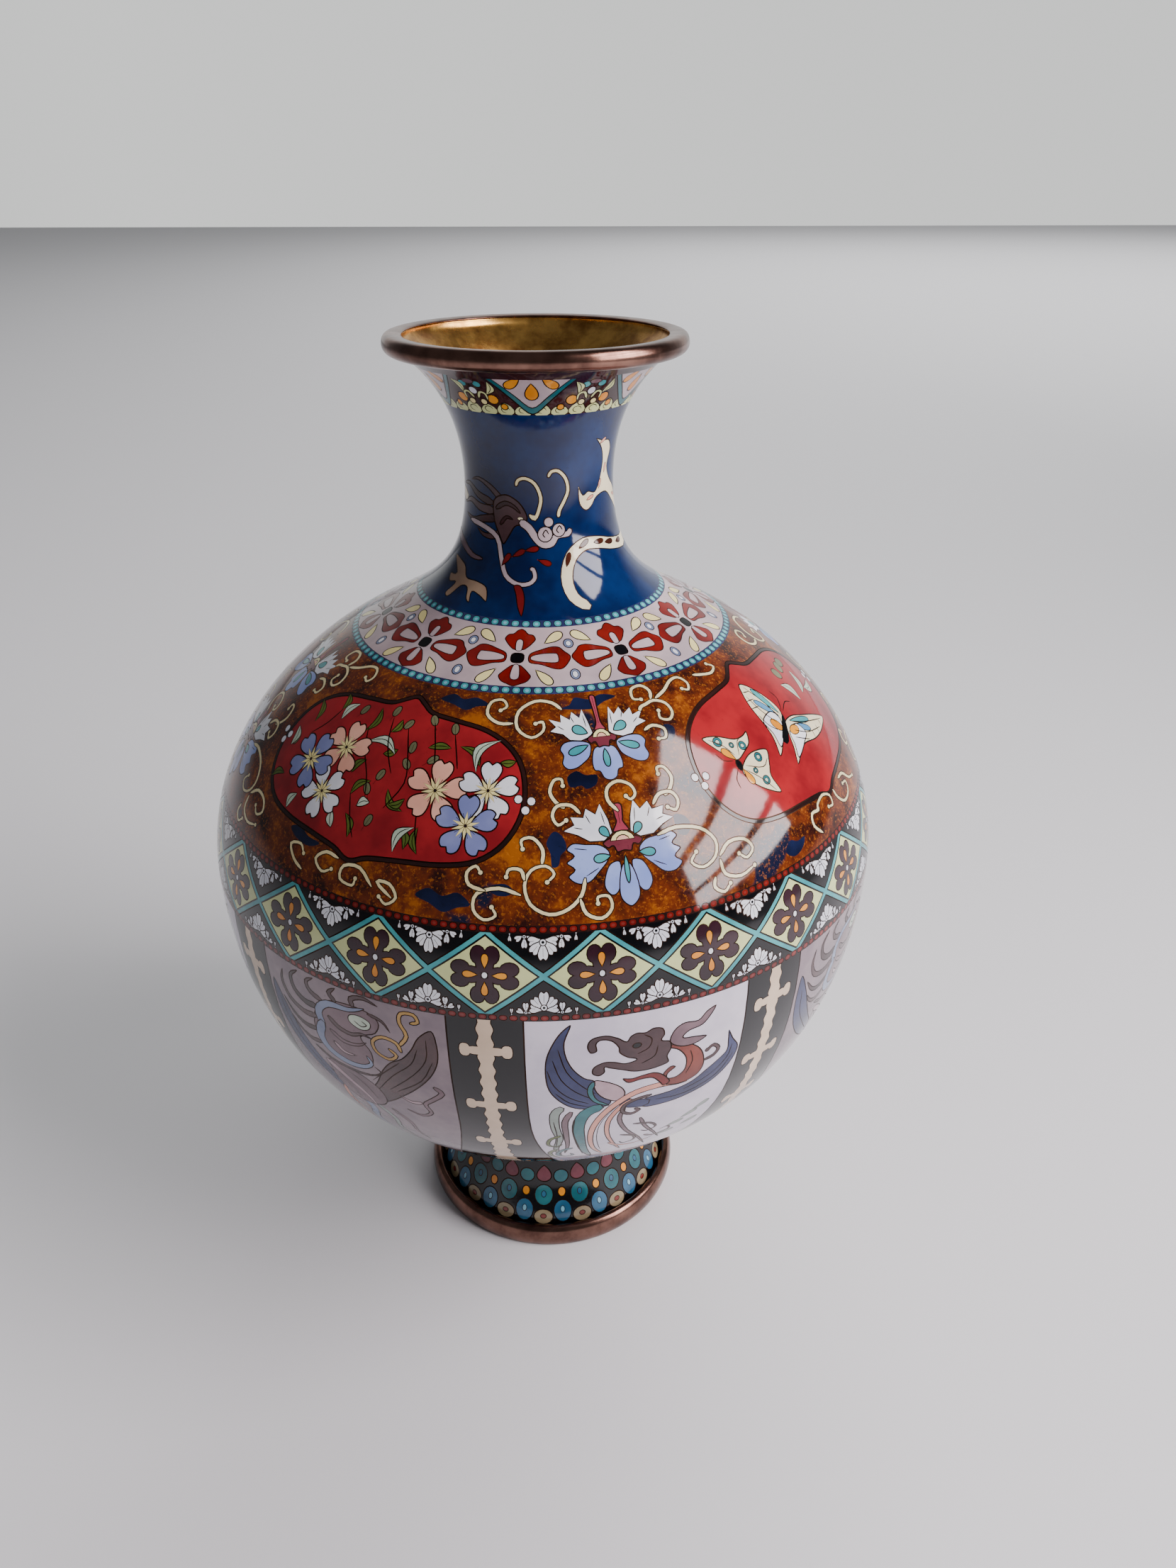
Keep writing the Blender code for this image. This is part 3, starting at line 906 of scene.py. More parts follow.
# %% Flowers, leaves and buds
def blossom(band, theta, s, radius, paint, petals=5, turn=0.0, wide=0.74):
    """Notched petals round a yellow star, with dark stamens between its rays.

    The star's corners go round in even steps, by turns far from the middle and near to it.
    """
    for number in range(petals):
        way = turn + 360.0 * number / petals
        band.cell(lay(shaped(PETAL_HALF, wide * radius, radius), theta, s, way), paint, 0.3)
    corner = np.arange(4 * petals)
    reach = np.where(corner % 2, 0.2, 0.46) * radius
    way = 2.0 * math.pi * corner / (4 * petals)
    star = np.stack([reach * np.sin(way), reach * np.cos(way)], axis=1)
    band.cell(lay(star, theta, s, turn), "pale_yellow", 0.16)
    for number in range(2 * petals):
        way = turn + 180.0 * (number + 0.5) / petals
        spoke = lay(np.array([[0.0, 0.1], [0.0, 0.4 * radius]]), theta, s, way)
        band.line(spoke, 0.24)
    band.fill(lay(oval(0.12 * radius, 0.12 * radius, 6), theta, s), "brown_dark")


def leaf(band, theta, s, length, width, turn, paint, bend=0.25):
    """A leaf: a pointed oval whose middle line is a shallow arc, with a wire vein."""
    t = np.linspace(0.0, 1.0, 9)
    half = 0.5 * width * np.sin(math.pi * t) ** 0.8
    spine = bend * length * np.sin(math.pi * t)
    right = np.stack([spine + half, length * t], axis=1)
    left = np.stack([spine - half, length * t], axis=1)
    band.cell(lay(np.vstack([right, left[-2:0:-1]]), theta, s, turn), paint, 0.22)
    band.line(lay(np.stack([spine, length * t], axis=1)[1:-1], theta, s, turn), 0.18)


print("a petal of a blossom:", len(shaped(PETAL_HALF, 1.0, 1.0)), "points")

# %% [markdown]
# The spray fills its cartouche from the back forwards: green leaves, buds on short stems,
# pale leaves, long bare stems, and last two groups of three flowers in front of them all.

# %% The spray
for theta, s, turn, length, bend in (
    (-40.8, 203.0, 6, 6.4, 0.2), (-36.6, 189.2, 42, 5.6, -0.2), (-17.6, 204.6, 128, 6.6, -0.2),
    (-29.4, 192.8, 128, 6.4, 0.2), (-21.6, 186.4, 170, 5.6, 0.2), (-56.0, 199.4, -30, 6.0, 0.2),
    (-24.4, 203.2, 82, 5.2, -0.1), (-36.0, 185.4, 152, 5.4, -0.2), (-54.6, 186.4, -120, 5.0, 0.2),
    (-8.8, 201.8, 84, 3.4, 0.1), (-33.6, 199.6, 60, 3.6, 0.1), (-50.8, 205.0, -20, 4.4, 0.2),
    (-24.6, 185.6, 160, 4.6, -0.2), (-34.4, 204.6, 20, 3.8, 0.2), (-28.4, 189.6, 60, 4.0, 0.2),
    (-38.4, 193.6, 30, 4.4, -0.2),
):
    leaf(shoulder, theta, s, length, 1.9, turn, "leaf_green", bend)
for theta, s, turn in (
    (-35.8, 209.6, 10), (-31.0, 207.4, 30), (-25.4, 209.6, -30), (-19.8, 208.4, -15),
    (-27.7, 202.6, 0), (-27.6, 198.8, -40), (-32.0, 195.2, 20), (-31.0, 185.4, 20),
    (-44.4, 207.4, 20), (-57.4, 194.0, 0), (-33.6, 191.6, -30), (-22.4, 200.8, 50),
):
    shoulder.cell(lay(oval(1.9, 3.0, 12), theta, s, turn), "bud", 0.2)
    shoulder.line(lay(np.array([[0.0, -2.6], [0.0, 0.8]]), theta, s, turn), 0.16)
for theta, s, turn, length, bend in (
    (-49.0, 203.0, 22, 5.6, -0.2), (-38.8, 201.0, 96, 8.4, -0.25), (-13.2, 199.2, 28, 8.6, -0.3),
    (-22.2, 186.2, -148, 7.0, 0.25), (-34.4, 187.4, 62, 3.4, -0.2), (-39.0, 185.0, 158, 4.0, 0.1),
    (-58.0, 192.0, -20, 5.0, 0.2), (-48.4, 184.6, -160, 4.4, 0.2),
):
    leaf(shoulder, theta, s, length, 2.3, turn, "white_green", bend)
hairs(shoulder, [
    [(-40.4, 204.0), (-38.0, 199.0), (-35.0, 194.4), (-33.4, 190.0)],
    [(-35.6, 208.0), (-33.6, 202.0), (-30.0, 196.0)],
    [(-25.0, 209.0), (-23.0, 204.0), (-21.6, 199.0)],
    [(-19.4, 207.0), (-18.0, 203.0), (-17.0, 199.6)],
    [(-30.6, 206.4), (-27.8, 200.0), (-26.6, 194.6), (-29.0, 188.6)],
    [(-36.6, 189.6), (-34.6, 184.4), (-33.0, 181.0)],
    [(-22.6, 190.0), (-22.0, 185.6), (-21.0, 181.6)],
    [(-50.6, 205.4), (-52.0, 201.0), (-54.6, 197.0)],
], 0.3)
for theta, s, radius, paint, turn in (
    (-42.8, 198.2, 6.4, "peach", 0), (-43.0, 187.6, 6.2, "white", 40),
    (-49.8, 192.4, 6.8, "iris", 15), (-20.2, 194.4, 6.8, "peach", 4),
    (-10.4, 195.6, 6.4, "white", 2), (-13.5, 188.0, 6.6, "iris", 0),
):
    blossom(shoulder, theta, s, radius, paint, turn=turn)
print("with the spray:", len(shoulder.loops), "loops")

# %% [markdown]
# Three white dots close each end of a cartouche.

# %% Dots at the cartouches' ends
for place in (spray_place + 29.0, wing_place - 28.6, wing_place + 28.6, spray_place - 29.0):
    for across, rise in ((-1.2, 0.9), (1.1, 0.5), (0.1, -1.4)):
        shoulder.cell(lay(oval(2.0, 2.1, 10), place + across, 193.2 + rise), "white", 0.2)
print("with the dots:", len(shoulder.loops), "loops")

# %% [markdown]
# Two butterflies fly in the other cartouche. A wing is a smooth cell through its corners,
# with ringed spots or long coloured drops, and its veins are bare wires.

# %% The spotted butterfly
def wing(band, places, paint, spots=()):
    """A wing: one smooth cell through its corners, with ringed ovals for its spots."""
    band.cell(smooth(places), paint)
    for theta, s, size in spots:
        band.cell(lay(oval(size, size), theta, s), "teal", 0.2)
        band.cell(lay(oval(0.5 * size, 0.5 * size), theta, s), "white_green", 0.15)


wing(shoulder, [
    (34.0, 201.6), (37.5, 201.2), (41.5, 199.0), (44.0, 198.8), (45.8, 199.2), (44.6, 196.6),
    (42.0, 195.2), (39.4, 194.3), (37.4, 196.2), (35.6, 198.6),
], "ivory", ((37.2, 199.7, 2.5), (42.5, 196.8, 2.3), (40.0, 197.9, 1.5)))
wing(shoulder, [
    (40.4, 193.4), (43.6, 194.7), (47.8, 193.6), (46.4, 190.4), (45.2, 188.0), (45.6, 183.9),
    (42.8, 185.6), (40.2, 188.4), (39.0, 191.4),
], "ivory", ((44.6, 193.0, 2.4), (43.5, 187.8, 2.3), (42.2, 190.7, 1.5)))
for start, turn in (((39.3, 194.4), -35), ((39.5, 192.4), 165)):
    shoulder.cell(lay(petal(4.4, 1.9), *start, turn), "orange", 0.2)
shoulder.cell(lay(oval(1.8, 2.8), 39.2, 193.3), "black", 0.2)
hairs(shoulder, [
    [(39.4, 195.6), (38.0, 198.4), (35.4, 200.8)], [(40.4, 195.2), (42.0, 198.2), (44.4, 198.6)],
    [(40.6, 192.6), (44.4, 190.6), (46.6, 191.8)], [(40.2, 191.6), (42.6, 188.6), (44.6, 184.8)],
    [(38.4, 194.6), (36.4, 195.4), (35.2, 197.4)], [(38.4, 192.6), (37.0, 190.6), (37.0, 188.6)],
], 0.22)
print("with one butterfly:", len(shoulder.loops), "loops")

# %% [markdown]
# The second butterfly is larger and lies aslant, with long pointed wings.

# %% The larger butterfly
wing(shoulder, [
    (54.8, 208.9), (52.9, 206.6), (51.8, 203.0), (51.8, 198.5), (51.5, 194.6), (50.2, 190.4),
    (53.2, 192.2), (56.4, 194.8), (59.8, 197.6), (59.8, 201.4), (57.6, 206.4),
], "ivory")
wing(shoulder, [
    (58.4, 195.6), (62.0, 195.6), (66.0, 193.6), (70.8, 190.8), (74.4, 187.5), (69.6, 186.7),
    (64.6, 187.2), (60.2, 188.6), (57.2, 188.2), (53.6, 186.5), (55.4, 190.2), (56.6, 192.8),
], "ivory")
for theta, s, length, turn, paint in (
    (59.0, 197.6, 9.2, -14, "turquoise"), (58.2, 197.4, 7.6, -30, "blue_glaze"),
    (60.0, 195.2, 9.4, 114, "turquoise"), (60.2, 194.0, 7.6, 125, "blue_glaze"),
):
    shoulder.cell(lay(petal(length, 1.9, 0.4), theta, s, turn), paint, 0.22)
for places in (
    [(52.2, 199.0), (56.6, 199.8), (58.0, 197.0), (55.4, 193.8), (52.0, 191.8), (52.4, 195.4)],
    [(57.6, 193.4), (61.6, 193.6), (62.8, 190.2), (59.8, 188.9), (55.0, 187.4), (56.4, 190.6)],
):
    shoulder.cell(smooth(places), "white")
for theta, s, turn in ((55.4, 196.4, -30), (59.6, 192.8, 100)):
    shoulder.cell(lay(oval(2.6, 4.2), theta, s, turn), "orange", 0.22)
body = smooth([(54.0, 192.0), (57.0, 194.6), (59.6, 197.2)], False)
shoulder.fill(stroke(body, 2.2, 0.3), "black")
hairs(shoulder, [
    [(57.8, 197.0), (57.2, 202.0), (55.2, 207.6)], [(56.0, 196.8), (54.2, 201.0), (53.4, 205.6)],
    [(60.4, 194.8), (65.0, 192.0), (72.6, 188.2)], [(59.6, 192.6), (63.6, 189.8), (69.6, 187.6)],
    [(52.0, 202.6), (54.6, 202.2)], [(52.4, 204.6), (55.0, 204.2)], [(53.4, 206.8), (55.6, 206.2)],
    [(64.8, 187.4), (65.4, 189.4)], [(67.6, 187.0), (68.2, 189.0)], [(70.6, 187.2), (71.2, 189.0)],
    [(54.6, 195.4), (53.0, 197.6), (52.4, 200.6)], [(58.2, 191.4), (60.4, 189.8), (62.4, 188.4)],
    [(60.4, 198.0), (62.6, 200.6), (62.2, 203.0)], [(60.8, 197.6), (64.0, 198.6), (66.0, 197.6)],
])
for theta, turn in ((71.0, -20), (75.0, 40), (78.0, 100)):
    leaf(shoulder, theta, 195.0, 7.0, 2.8, turn, "white_green", 0.2)
    shoulder.cell(lay(oval(3.0, 3.8), theta + 1.0, 203.5, turn), "bud", 0.2)
print("with both butterflies:", len(shoulder.loops), "loops")

# %% [markdown]
# Between two cartouches stand two lotus flowers, one over the other. Each has a crest of
# white pointed petals, round blue ones under it with turquoise drops, and a yellow heart on
# a dark rose cup. A column is nearly the same on both sides, so it is drawn beside its
# middle line and mirrored.

# %% Lotus column
def beside(points, side=1.0):
    """Chart points given beside the column's middle line, mirrored where side is -1."""
    return np.array(points, float) * [side, 1.0] + [COLUMN, 0.0]


before_column = len(shoulder.loops)
for base, top in ((208.6, 217.4), (186.4, 192.4)):
    stem = mirrored([
        (0.0, top), (0.9, top - 0.6), (0.8, top - 3.0), (0.7, base + 2.0), (1.5, base), (0.0, base)])
    shoulder.cell(smooth(beside(stem)), "rose")
    shoulder.line(beside([(0.0, base + 1.6), (0.0, top - 0.8)]), 0.2)
CRESTS = (
    [(1.6, 208.0), (2.2, 211.0), (3.3, 214.0), (4.2, 212.0), (5.9, 213.6), (6.5, 211.7),
     (8.6, 213.0), (8.7, 211.2), (11.4, 211.9), (10.0, 210.0), (11.2, 208.9), (8.4, 208.0),
     (7.0, 206.6), (4.6, 206.3), (2.6, 207.0)],
    [(1.4, 186.2), (1.8, 189.2), (3.0, 192.6), (4.0, 190.6), (5.6, 191.9), (6.2, 190.1),
     (8.4, 190.3), (7.9, 188.6), (9.6, 187.4), (7.4, 186.3), (5.4, 184.8), (3.0, 184.7)],
)
ROUND_PETALS = (
    [(2.8, 205.7), (5.6, 206.6), (8.2, 206.3), (9.3, 204.8), (8.7, 203.3), (9.0, 201.5),
     (8.0, 200.2), (6.3, 200.3), (4.6, 201.4), (3.1, 203.0)],
    [(0.9, 180.4), (2.6, 180.2), (3.6, 177.8), (3.8, 175.6), (2.9, 173.9), (1.8, 174.3),
     (1.1, 176.6)],
    [(2.4, 182.6), (3.8, 184.2), (6.2, 184.6), (8.2, 184.9), (9.3, 183.6), (8.2, 182.3),
     (9.4, 181.0), (8.2, 179.6), (9.2, 178.2), (7.8, 176.7), (5.9, 176.9), (4.2, 178.9),
     (2.8, 180.8)],
)
# Length, width, place across, place up and turn of each turquoise drop
LOTUS_DROPS = (
    (3.6, 2.4, 2.8, 208.0, 62), (4.9, 2.0, 3.1, 205.4, 112),
    (3.0, 2.0, 2.0, 185.4, 38), (3.8, 2.0, 2.2, 181.8, 98),
)
VEINS = (
    [(8.0, 209.2), (9.4, 210.2)], [(5.6, 210.8), (6.2, 212.2)], [(3.0, 209.6), (3.3, 212.4)],
    [(2.6, 188.2), (3.0, 190.8)], [(5.0, 188.6), (5.7, 190.4)], [(6.4, 187.6), (7.8, 188.0)],
    [(4.4, 179.6), (6.4, 178.2)], [(6.0, 183.4), (8.0, 183.8)],
)
for side in (-1.0, 1.0):
    for points in CRESTS:
        shoulder.cell(beside(points, side), "white", 0.25)
    for points in ROUND_PETALS:
        shoulder.cell(smooth(beside(points, side)), "periwinkle", 0.25)
    for length, width, across, s, turn in LOTUS_DROPS:
        shape = petal(length, width, 0.35)
        shoulder.cell(lay(shape, COLUMN + side * across, s, side * turn), "turquoise", 0.25)
    hairs(shoulder, [beside(points, side) for points in VEINS], 0.2)
print("column's sides:", len(shoulder.loops) - before_column, "loops")

# %% [markdown]
# What lies on the column's middle line is drawn last, over the side petals: a blue petal
# with a turquoise drop in each flower, and its heart, a yellow dome on a dark rose cup.

# %% The lotus flowers' middle petals and hearts
shoulder.cell(smooth(beside(mirrored([
    (0.0, 205.0), (2.2, 204.5), (3.1, 201.7), (2.9, 199.6), (1.9, 199.2), (1.3, 197.7),
    (0.0, 197.1)]))), "periwinkle", 0.25)
shoulder.cell(smooth(beside(mirrored([
    (0.0, 180.4), (1.0, 179.0), (1.6, 175.4), (1.4, 172.8), (0.0, 171.2)]))), "periwinkle", 0.25)
shoulder.cell(lay(petal(4.4, 1.7, 0.3), COLUMN, 204.4, 180), "turquoise", 0.25)
shoulder.cell(lay(petal(5.8, 1.3, 0.1), COLUMN, 181.6, 180), "turquoise", 0.25)
DOME = np.array([(-2.1, 0.0), (-1.8, 1.1), (-0.9, 1.9), (0.0, 2.1), (0.9, 1.9), (1.8, 1.1), (2.1, 0.0)])
for base in (206.9, 184.6):
    shoulder.cell(smooth(beside(mirrored([
        (0.0, base + 0.6), (2.0, base + 0.8), (3.4, base - 0.2), (2.6, base - 1.4), (1.7, base - 1.1),
        (1.2, base - 2.4), (0.0, base - 2.2)]))), "rose_dark")
    shoulder.cell(DOME + [COLUMN, base], "pale_yellow", 0.25)
    shoulder.cell(0.56 * DOME + [COLUMN, base], "peach", 0.22)
print("column:", len(shoulder.loops) - before_column, "loops")

# %% [markdown]
# Cream scrolls fill the amber on both sides of a column. The real maker bent them freehand,
# and only two of them are the same on both sides. Each is one stroke of even width through a
# few points, with a knob at its end.

# %% Cream scrolls beside the column
SCROLLS_BOTH = (
    [(9.0, 192.0), (10.6, 193.4), (11.6, 195.6), (10.8, 198.0), (9.4, 198.2), (9.2, 196.8)],
    [(6.4, 190.6), (8.0, 192.6), (10.4, 192.6), (11.3, 190.6), (10.4, 188.7), (9.0, 189.6)],
)
SCROLLS_LEFT = (
    [(7.9, 214.0), (10.4, 216.0), (14.6, 216.4), (18.4, 213.8), (18.4, 209.8), (15.2, 207.6),
     (12.6, 209.2), (12.7, 211.3), (14.3, 210.9)],
    [(19.2, 210.9), (22.8, 210.8), (25.8, 212.8), (25.5, 215.8), (22.8, 216.6), (21.4, 215.0),
     (22.8, 213.9)],
    [(13.2, 180.6), (13.0, 183.8), (14.6, 186.2), (16.4, 185.8), (16.2, 184.0)],
    [(6.6, 178.0), (7.3, 174.6), (9.4, 171.9), (12.2, 171.0), (14.9, 173.0), (15.8, 176.8),
     (14.8, 179.8), (12.6, 180.6), (11.3, 179.0), (12.4, 177.4)],
    [(7.6, 174.0), (6.8, 170.8), (4.6, 169.6), (3.0, 171.4), (3.3, 173.8), (4.9, 173.9),
     (5.0, 172.6)],
    [(16.2, 174.8), (19.6, 176.1), (22.9, 174.8), (23.3, 171.6), (21.7, 169.7), (20.0, 170.6),
     (20.6, 172.3)],
    [(21.6, 175.4), (24.2, 176.4), (24.7, 178.8), (23.4, 180.2), (22.6, 179.0)],
    [(15.8, 177.6), (16.4, 179.8), (18.2, 179.9), (18.6, 178.4)],
    [(36.0, 171.2), (39.0, 173.8), (36.8, 174.0), (35.4, 171.6), (36.9, 169.8), (38.2, 171.0)],
    [(39.6, 172.4), (42.4, 175.6), (45.4, 175.0), (45.6, 172.2), (43.2, 171.6), (42.8, 173.2)],
    [(46.6, 176.0), (49.4, 176.4), (51.2, 174.2), (49.4, 172.2), (47.6, 173.4)],
    [(53.4, 170.6), (55.8, 172.0), (57.4, 174.6), (55.2, 175.6), (54.0, 174.0)],
)
SCROLLS_RIGHT = (
    [(0.2, 190.4), (-1.4, 193.0), (-1.1, 195.6), (1.0, 196.8), (3.2, 195.7), (3.8, 193.7),
     (2.8, 192.6), (2.0, 193.4)],
    [(10.6, 211.4), (11.4, 212.4), (13.0, 212.8), (15.4, 213.3), (18.0, 212.0), (18.5, 209.6),
     (16.9, 208.0), (14.8, 208.8), (15.3, 210.6)],
    [(9.6, 206.8), (12.1, 207.6), (14.4, 206.3), (13.9, 204.3), (12.2, 204.3)],
    [(16.0, 213.6), (19.8, 215.0), (23.2, 216.8), (26.2, 217.0), (27.7, 215.0), (26.6, 213.3),
     (25.0, 214.0)],
    [(14.8, 213.6), (15.8, 215.8), (14.2, 217.6), (11.2, 217.2), (10.4, 214.8), (12.4, 214.2)],
    [(5.8, 184.4), (9.4, 185.2), (13.6, 183.8), (15.7, 180.5), (14.9, 177.3), (12.4, 175.9),
     (10.6, 177.5), (11.8, 179.3)],
    [(15.6, 177.0), (18.0, 179.2), (21.0, 178.7), (22.2, 176.3), (20.6, 174.8), (19.3, 176.2)],
    [(15.6, 176.6), (15.9, 173.2), (18.6, 171.7), (21.6, 172.7)],
    [(14.1, 173.4), (13.6, 171.2), (15.1, 169.7), (16.4, 171.0)],
    [(39.2, 170.4), (37.4, 173.2), (38.0, 175.8), (40.2, 175.5), (40.6, 176.6), (43.2, 177.4),
     (45.4, 176.0), (45.2, 173.8), (43.6, 174.2)],
    [(47.4, 176.4), (48.0, 173.8), (50.2, 171.4), (53.2, 171.8), (54.0, 174.0), (52.2, 174.6)],
    [(51.2, 176.6), (54.0, 176.2), (56.4, 173.4), (59.0, 172.2)],
    [(31.0, 216.2), (34.4, 215.2), (37.6, 214.6), (40.2, 215.6), (38.8, 217.0)],
)
for side, curves in ((-1.0, SCROLLS_BOTH + SCROLLS_LEFT), (1.0, SCROLLS_BOTH + SCROLLS_RIGHT)):
    for points in curves:
        ribbon(shoulder, beside(points, side), 1.1, "cream", 0.8, 0.2, 1.35)

# %% [markdown]
# The repeat of half a turn holds two columns: this one, and the next beyond the butterflies.
# They are the same drawing, so the next one is a copy of these loops a quarter turn on.

# %% The next column
COLUMN_REACH = 30.0
next_column = [
    (loop + [90.0, 0.0], paint) for loop, paint in shoulder.loops[before_column:]
    if abs(loop[:, 0].mean() - COLUMN) < COLUMN_REACH
]
shoulder.loops += next_column
print("next column:", len(next_column), "loops")
shoulder.hang(2)


# %% [markdown]
# ## The collar
# Ten wheel flowers on pale lilac circle the root of the neck. Each has four dark red petals
# with pale tongues round a black heart, four yellow drops, and a ringed dot on either side.
# The flower is drawn about its own heart: its sides are mirrored, and the petals above and
# below are halves with their mirror images.

# %% One wheel flower
COLLAR = 36.0
WHEEL = -8.4
WHEEL_HEIGHT = 228.1
collar = Band(220.2, 236.4, COLLAR, WHEEL - 0.5 * COLLAR, "lilac")


def about_wheel(points, side=1.0):
    """Chart points given from the wheel flower's heart, mirrored where side is -1."""
    return np.array(points, float) * [side, 1.0] + [WHEEL, WHEEL_HEIGHT]


for side in (-1.0, 1.0):
    collar.cell(smooth(about_wheel([
        (4.0, 1.1), (8.0, 2.4), (11.6, 3.1), (14.4, 2.9), (15.9, 1.8), (17.9, 0.2), (16.9, -1.5),
        (14.6, -3.2), (12.0, -3.2), (8.0, -2.0), (4.0, -1.3)], side)), "dark_red", 0.22)
    collar.cell(smooth(about_wheel([
        (4.6, 0.5), (8.0, 1.2), (12.2, 1.3), (13.6, 0.9), (13.8, -0.9), (12.4, -1.5), (8.0, -1.2),
        (4.6, -0.6)], side)), "lilac", 0.2)
    collar.cell(lay(petal(5.0, 2.6, 0.45), WHEEL + side * 9.0, 232.0, side * 54), "pale_yellow", 0.25)
    collar.cell(lay(petal(5.7, 2.4, 0.45), WHEEL + side * 6.0, 224.9, side * 138), "pale_yellow", 0.25)
collar.cell(smooth(about_wheel(mirrored([
    (0.0, 7.9), (1.6, 7.5), (3.0, 6.6), (5.0, 6.3), (6.0, 5.1), (4.8, 3.9), (3.2, 2.8), (1.6, 2.1)]))),
    "dark_red", 0.22)
collar.cell(smooth(about_wheel(mirrored([
    (0.0, 5.2), (1.3, 4.7), (1.5, 3.4), (1.0, 1.9)]))), "lilac", 0.2)
collar.cell(smooth(about_wheel(mirrored([
    (0.0, -7.9), (2.0, -7.3), (3.8, -6.6), (4.9, -5.2), (4.0, -4.0), (2.6, -2.8), (1.2, -2.0)]))),
    "dark_red", 0.22)
collar.cell(smooth(about_wheel(mirrored([
    (0.0, -6.2), (1.3, -5.7), (1.5, -4.2), (0.9, -2.0)]))), "lilac", 0.2)
collar.cell(lay(oval(3.1, 3.0, 16, 0.7), WHEEL, WHEEL_HEIGHT - 0.1), "black", 0.25)
for height, size in ((231.8, 2.7), (223.2, 3.1)):
    collar.cell(lay(oval(2.4, size), WHEEL + 0.5 * COLLAR, height), "slate_blue", 0.22)
    collar.cell(lay(oval(1.3, size - 1.2), WHEEL + 0.5 * COLLAR, height), "white", 0.12)
collar.hang(10)

# %% [markdown]
# ## The neck
# A long beast of the kind that East Asian enamellers draw winds once round the neck on deep
# blue: a dark head with pale horns and curled whiskers, claws, flames, and a pale body that
# runs round the back. It is a common figure, so only its broad areas are kept here. Its body
# is one long stroke; the mane is a sheaf of strokes that taper to nothing.

# %% The winding beast's body and mane
neck = Band(238.3, 284.2, 360.0, -180.0, "deep_blue", 2.4)
ribbon(neck, [
    (24.6, 240.4), (17.4, 243.6), (15.8, 248.4), (21.0, 252.8), (32.0, 255.0), (46.0, 254.6),
    (62.0, 253.2), (84.0, 252.6), (104.0, 257.0), (122.0, 264.6), (144.0, 266.4), (164.0, 259.0),
    (184.0, 251.0), (206.0, 250.6), (228.0, 257.0), (250.0, 263.6), (274.0, 264.6), (292.0, 263.4)],
    3.0, "ivory", 1.0)
for theta, s, turn in (
    (30.0, 254.2, 60), (43.0, 254.9, 92), (54.0, 254.2, 96), (68.0, 253.2, 92), (19.6, 250.6, 20),
):
    neck.cell(lay(petal(3.4, 1.3, 0.3), theta - 3.0, s, turn), "brown", 0.16)
for theta in range(92, 280, 9):
    swing = 7.6 * math.cos(math.radians(3.1 * (theta - 144.0)))
    neck.cell(lay(oval(1.5, 1.3, 8), theta, 258.6 + swing), "salmon", 0.18)
for points, width, paint in (
    ([(-36.0, 264.0), (-52.0, 265.2), (-64.0, 267.0), (-76.0, 266.4)], 2.0, "maroon"),
    ([(-34.0, 262.4), (-50.0, 262.6), (-62.0, 263.6), (-74.0, 262.2)], 2.2, "umber"),
    ([(-32.0, 261.0), (-46.0, 260.2), (-58.0, 259.4), (-70.0, 260.2)], 2.0, "maroon"),
    ([(-28.0, 264.8), (-38.0, 267.4), (-50.0, 268.8), (-60.0, 268.2)], 1.6, "umber"),
    ([(-26.0, 259.0), (-34.0, 257.0), (-44.0, 256.8), (-52.0, 258.0)], 1.8, "umber"),
):
    ribbon(neck, points, width, paint, 0.2)
print("body and mane:", len(neck.loops), "loops")

# %% [markdown]
# The head lies on the mane: a dark mask with one eye, two pale horns that curl over it, and
# a lilac snout with round nostrils. Its whiskers hang below.

# %% Its head, horns and whiskers
neck.cell(smooth([
    (-36.0, 264.8), (-26.0, 266.4), (-17.0, 265.4), (-11.4, 263.6), (-8.6, 261.4), (-12.6, 260.0),
    (-18.0, 259.4), (-22.0, 257.4), (-26.4, 255.4), (-31.0, 257.6), (-35.6, 260.6)]), "umber")
ribbon(neck, [(-34.0, 263.0), (-26.0, 264.4), (-19.0, 263.8), (-14.0, 262.4)], 1.3, "maroon", 0.4)
ribbon(neck, [(-30.0, 259.6), (-25.0, 261.4), (-19.6, 261.0)], 1.1, "maroon", 0.4)
neck.cell(lay(oval(1.5, 0.9, 10), -14.2, 261.3), "ivory", 0.14)
ribbon(neck, [
    (-8.0, 262.4), (-3.6, 261.4), (-0.4, 263.4), (1.0, 266.0), (-3.0, 268.9), (-10.0, 270.1),
    (-15.4, 269.6), (-17.2, 268.2)], 1.15, "cream", 0.9)
ribbon(neck, [
    (13.6, 261.4), (14.6, 263.0), (18.4, 265.0), (21.4, 267.2), (19.6, 269.8), (14.0, 271.6),
    (8.8, 271.5), (6.4, 270.2)], 1.15, "cream", 0.9)
ribbon(neck, [
    (-15.0, 260.8), (-8.0, 259.4), (-3.0, 257.2), (2.0, 255.8), (8.0, 256.0), (12.0, 257.6),
    (20.0, 257.8), (22.6, 259.0)], 2.0, "lilac", 0.7)
for theta, s, size in ((3.6, 258.0, 3.6), (6.4, 260.6, 2.4), (13.6, 258.8, 3.2)):
    neck.cell(lay(oval(size, size, 14), theta, s), "lilac", 0.24)
for theta, s in ((3.6, 258.0), (13.6, 258.8)):
    hairs(neck, [[(theta + 2.6, s), (theta + 0.6, s + 0.9), (theta - 1.6, s), (theta, s - 0.7)]])
ribbon(neck, [
    (-62.0, 259.2), (-45.0, 258.6), (-32.0, 256.8), (-27.0, 252.6), (-22.0, 248.8), (-14.0, 247.0),
    (-7.0, 247.2), (-3.6, 248.6), (-4.8, 250.4), (-7.0, 250.2)], 1.5, "lilac", 0.8)
print("with the head:", len(neck.loops), "loops")

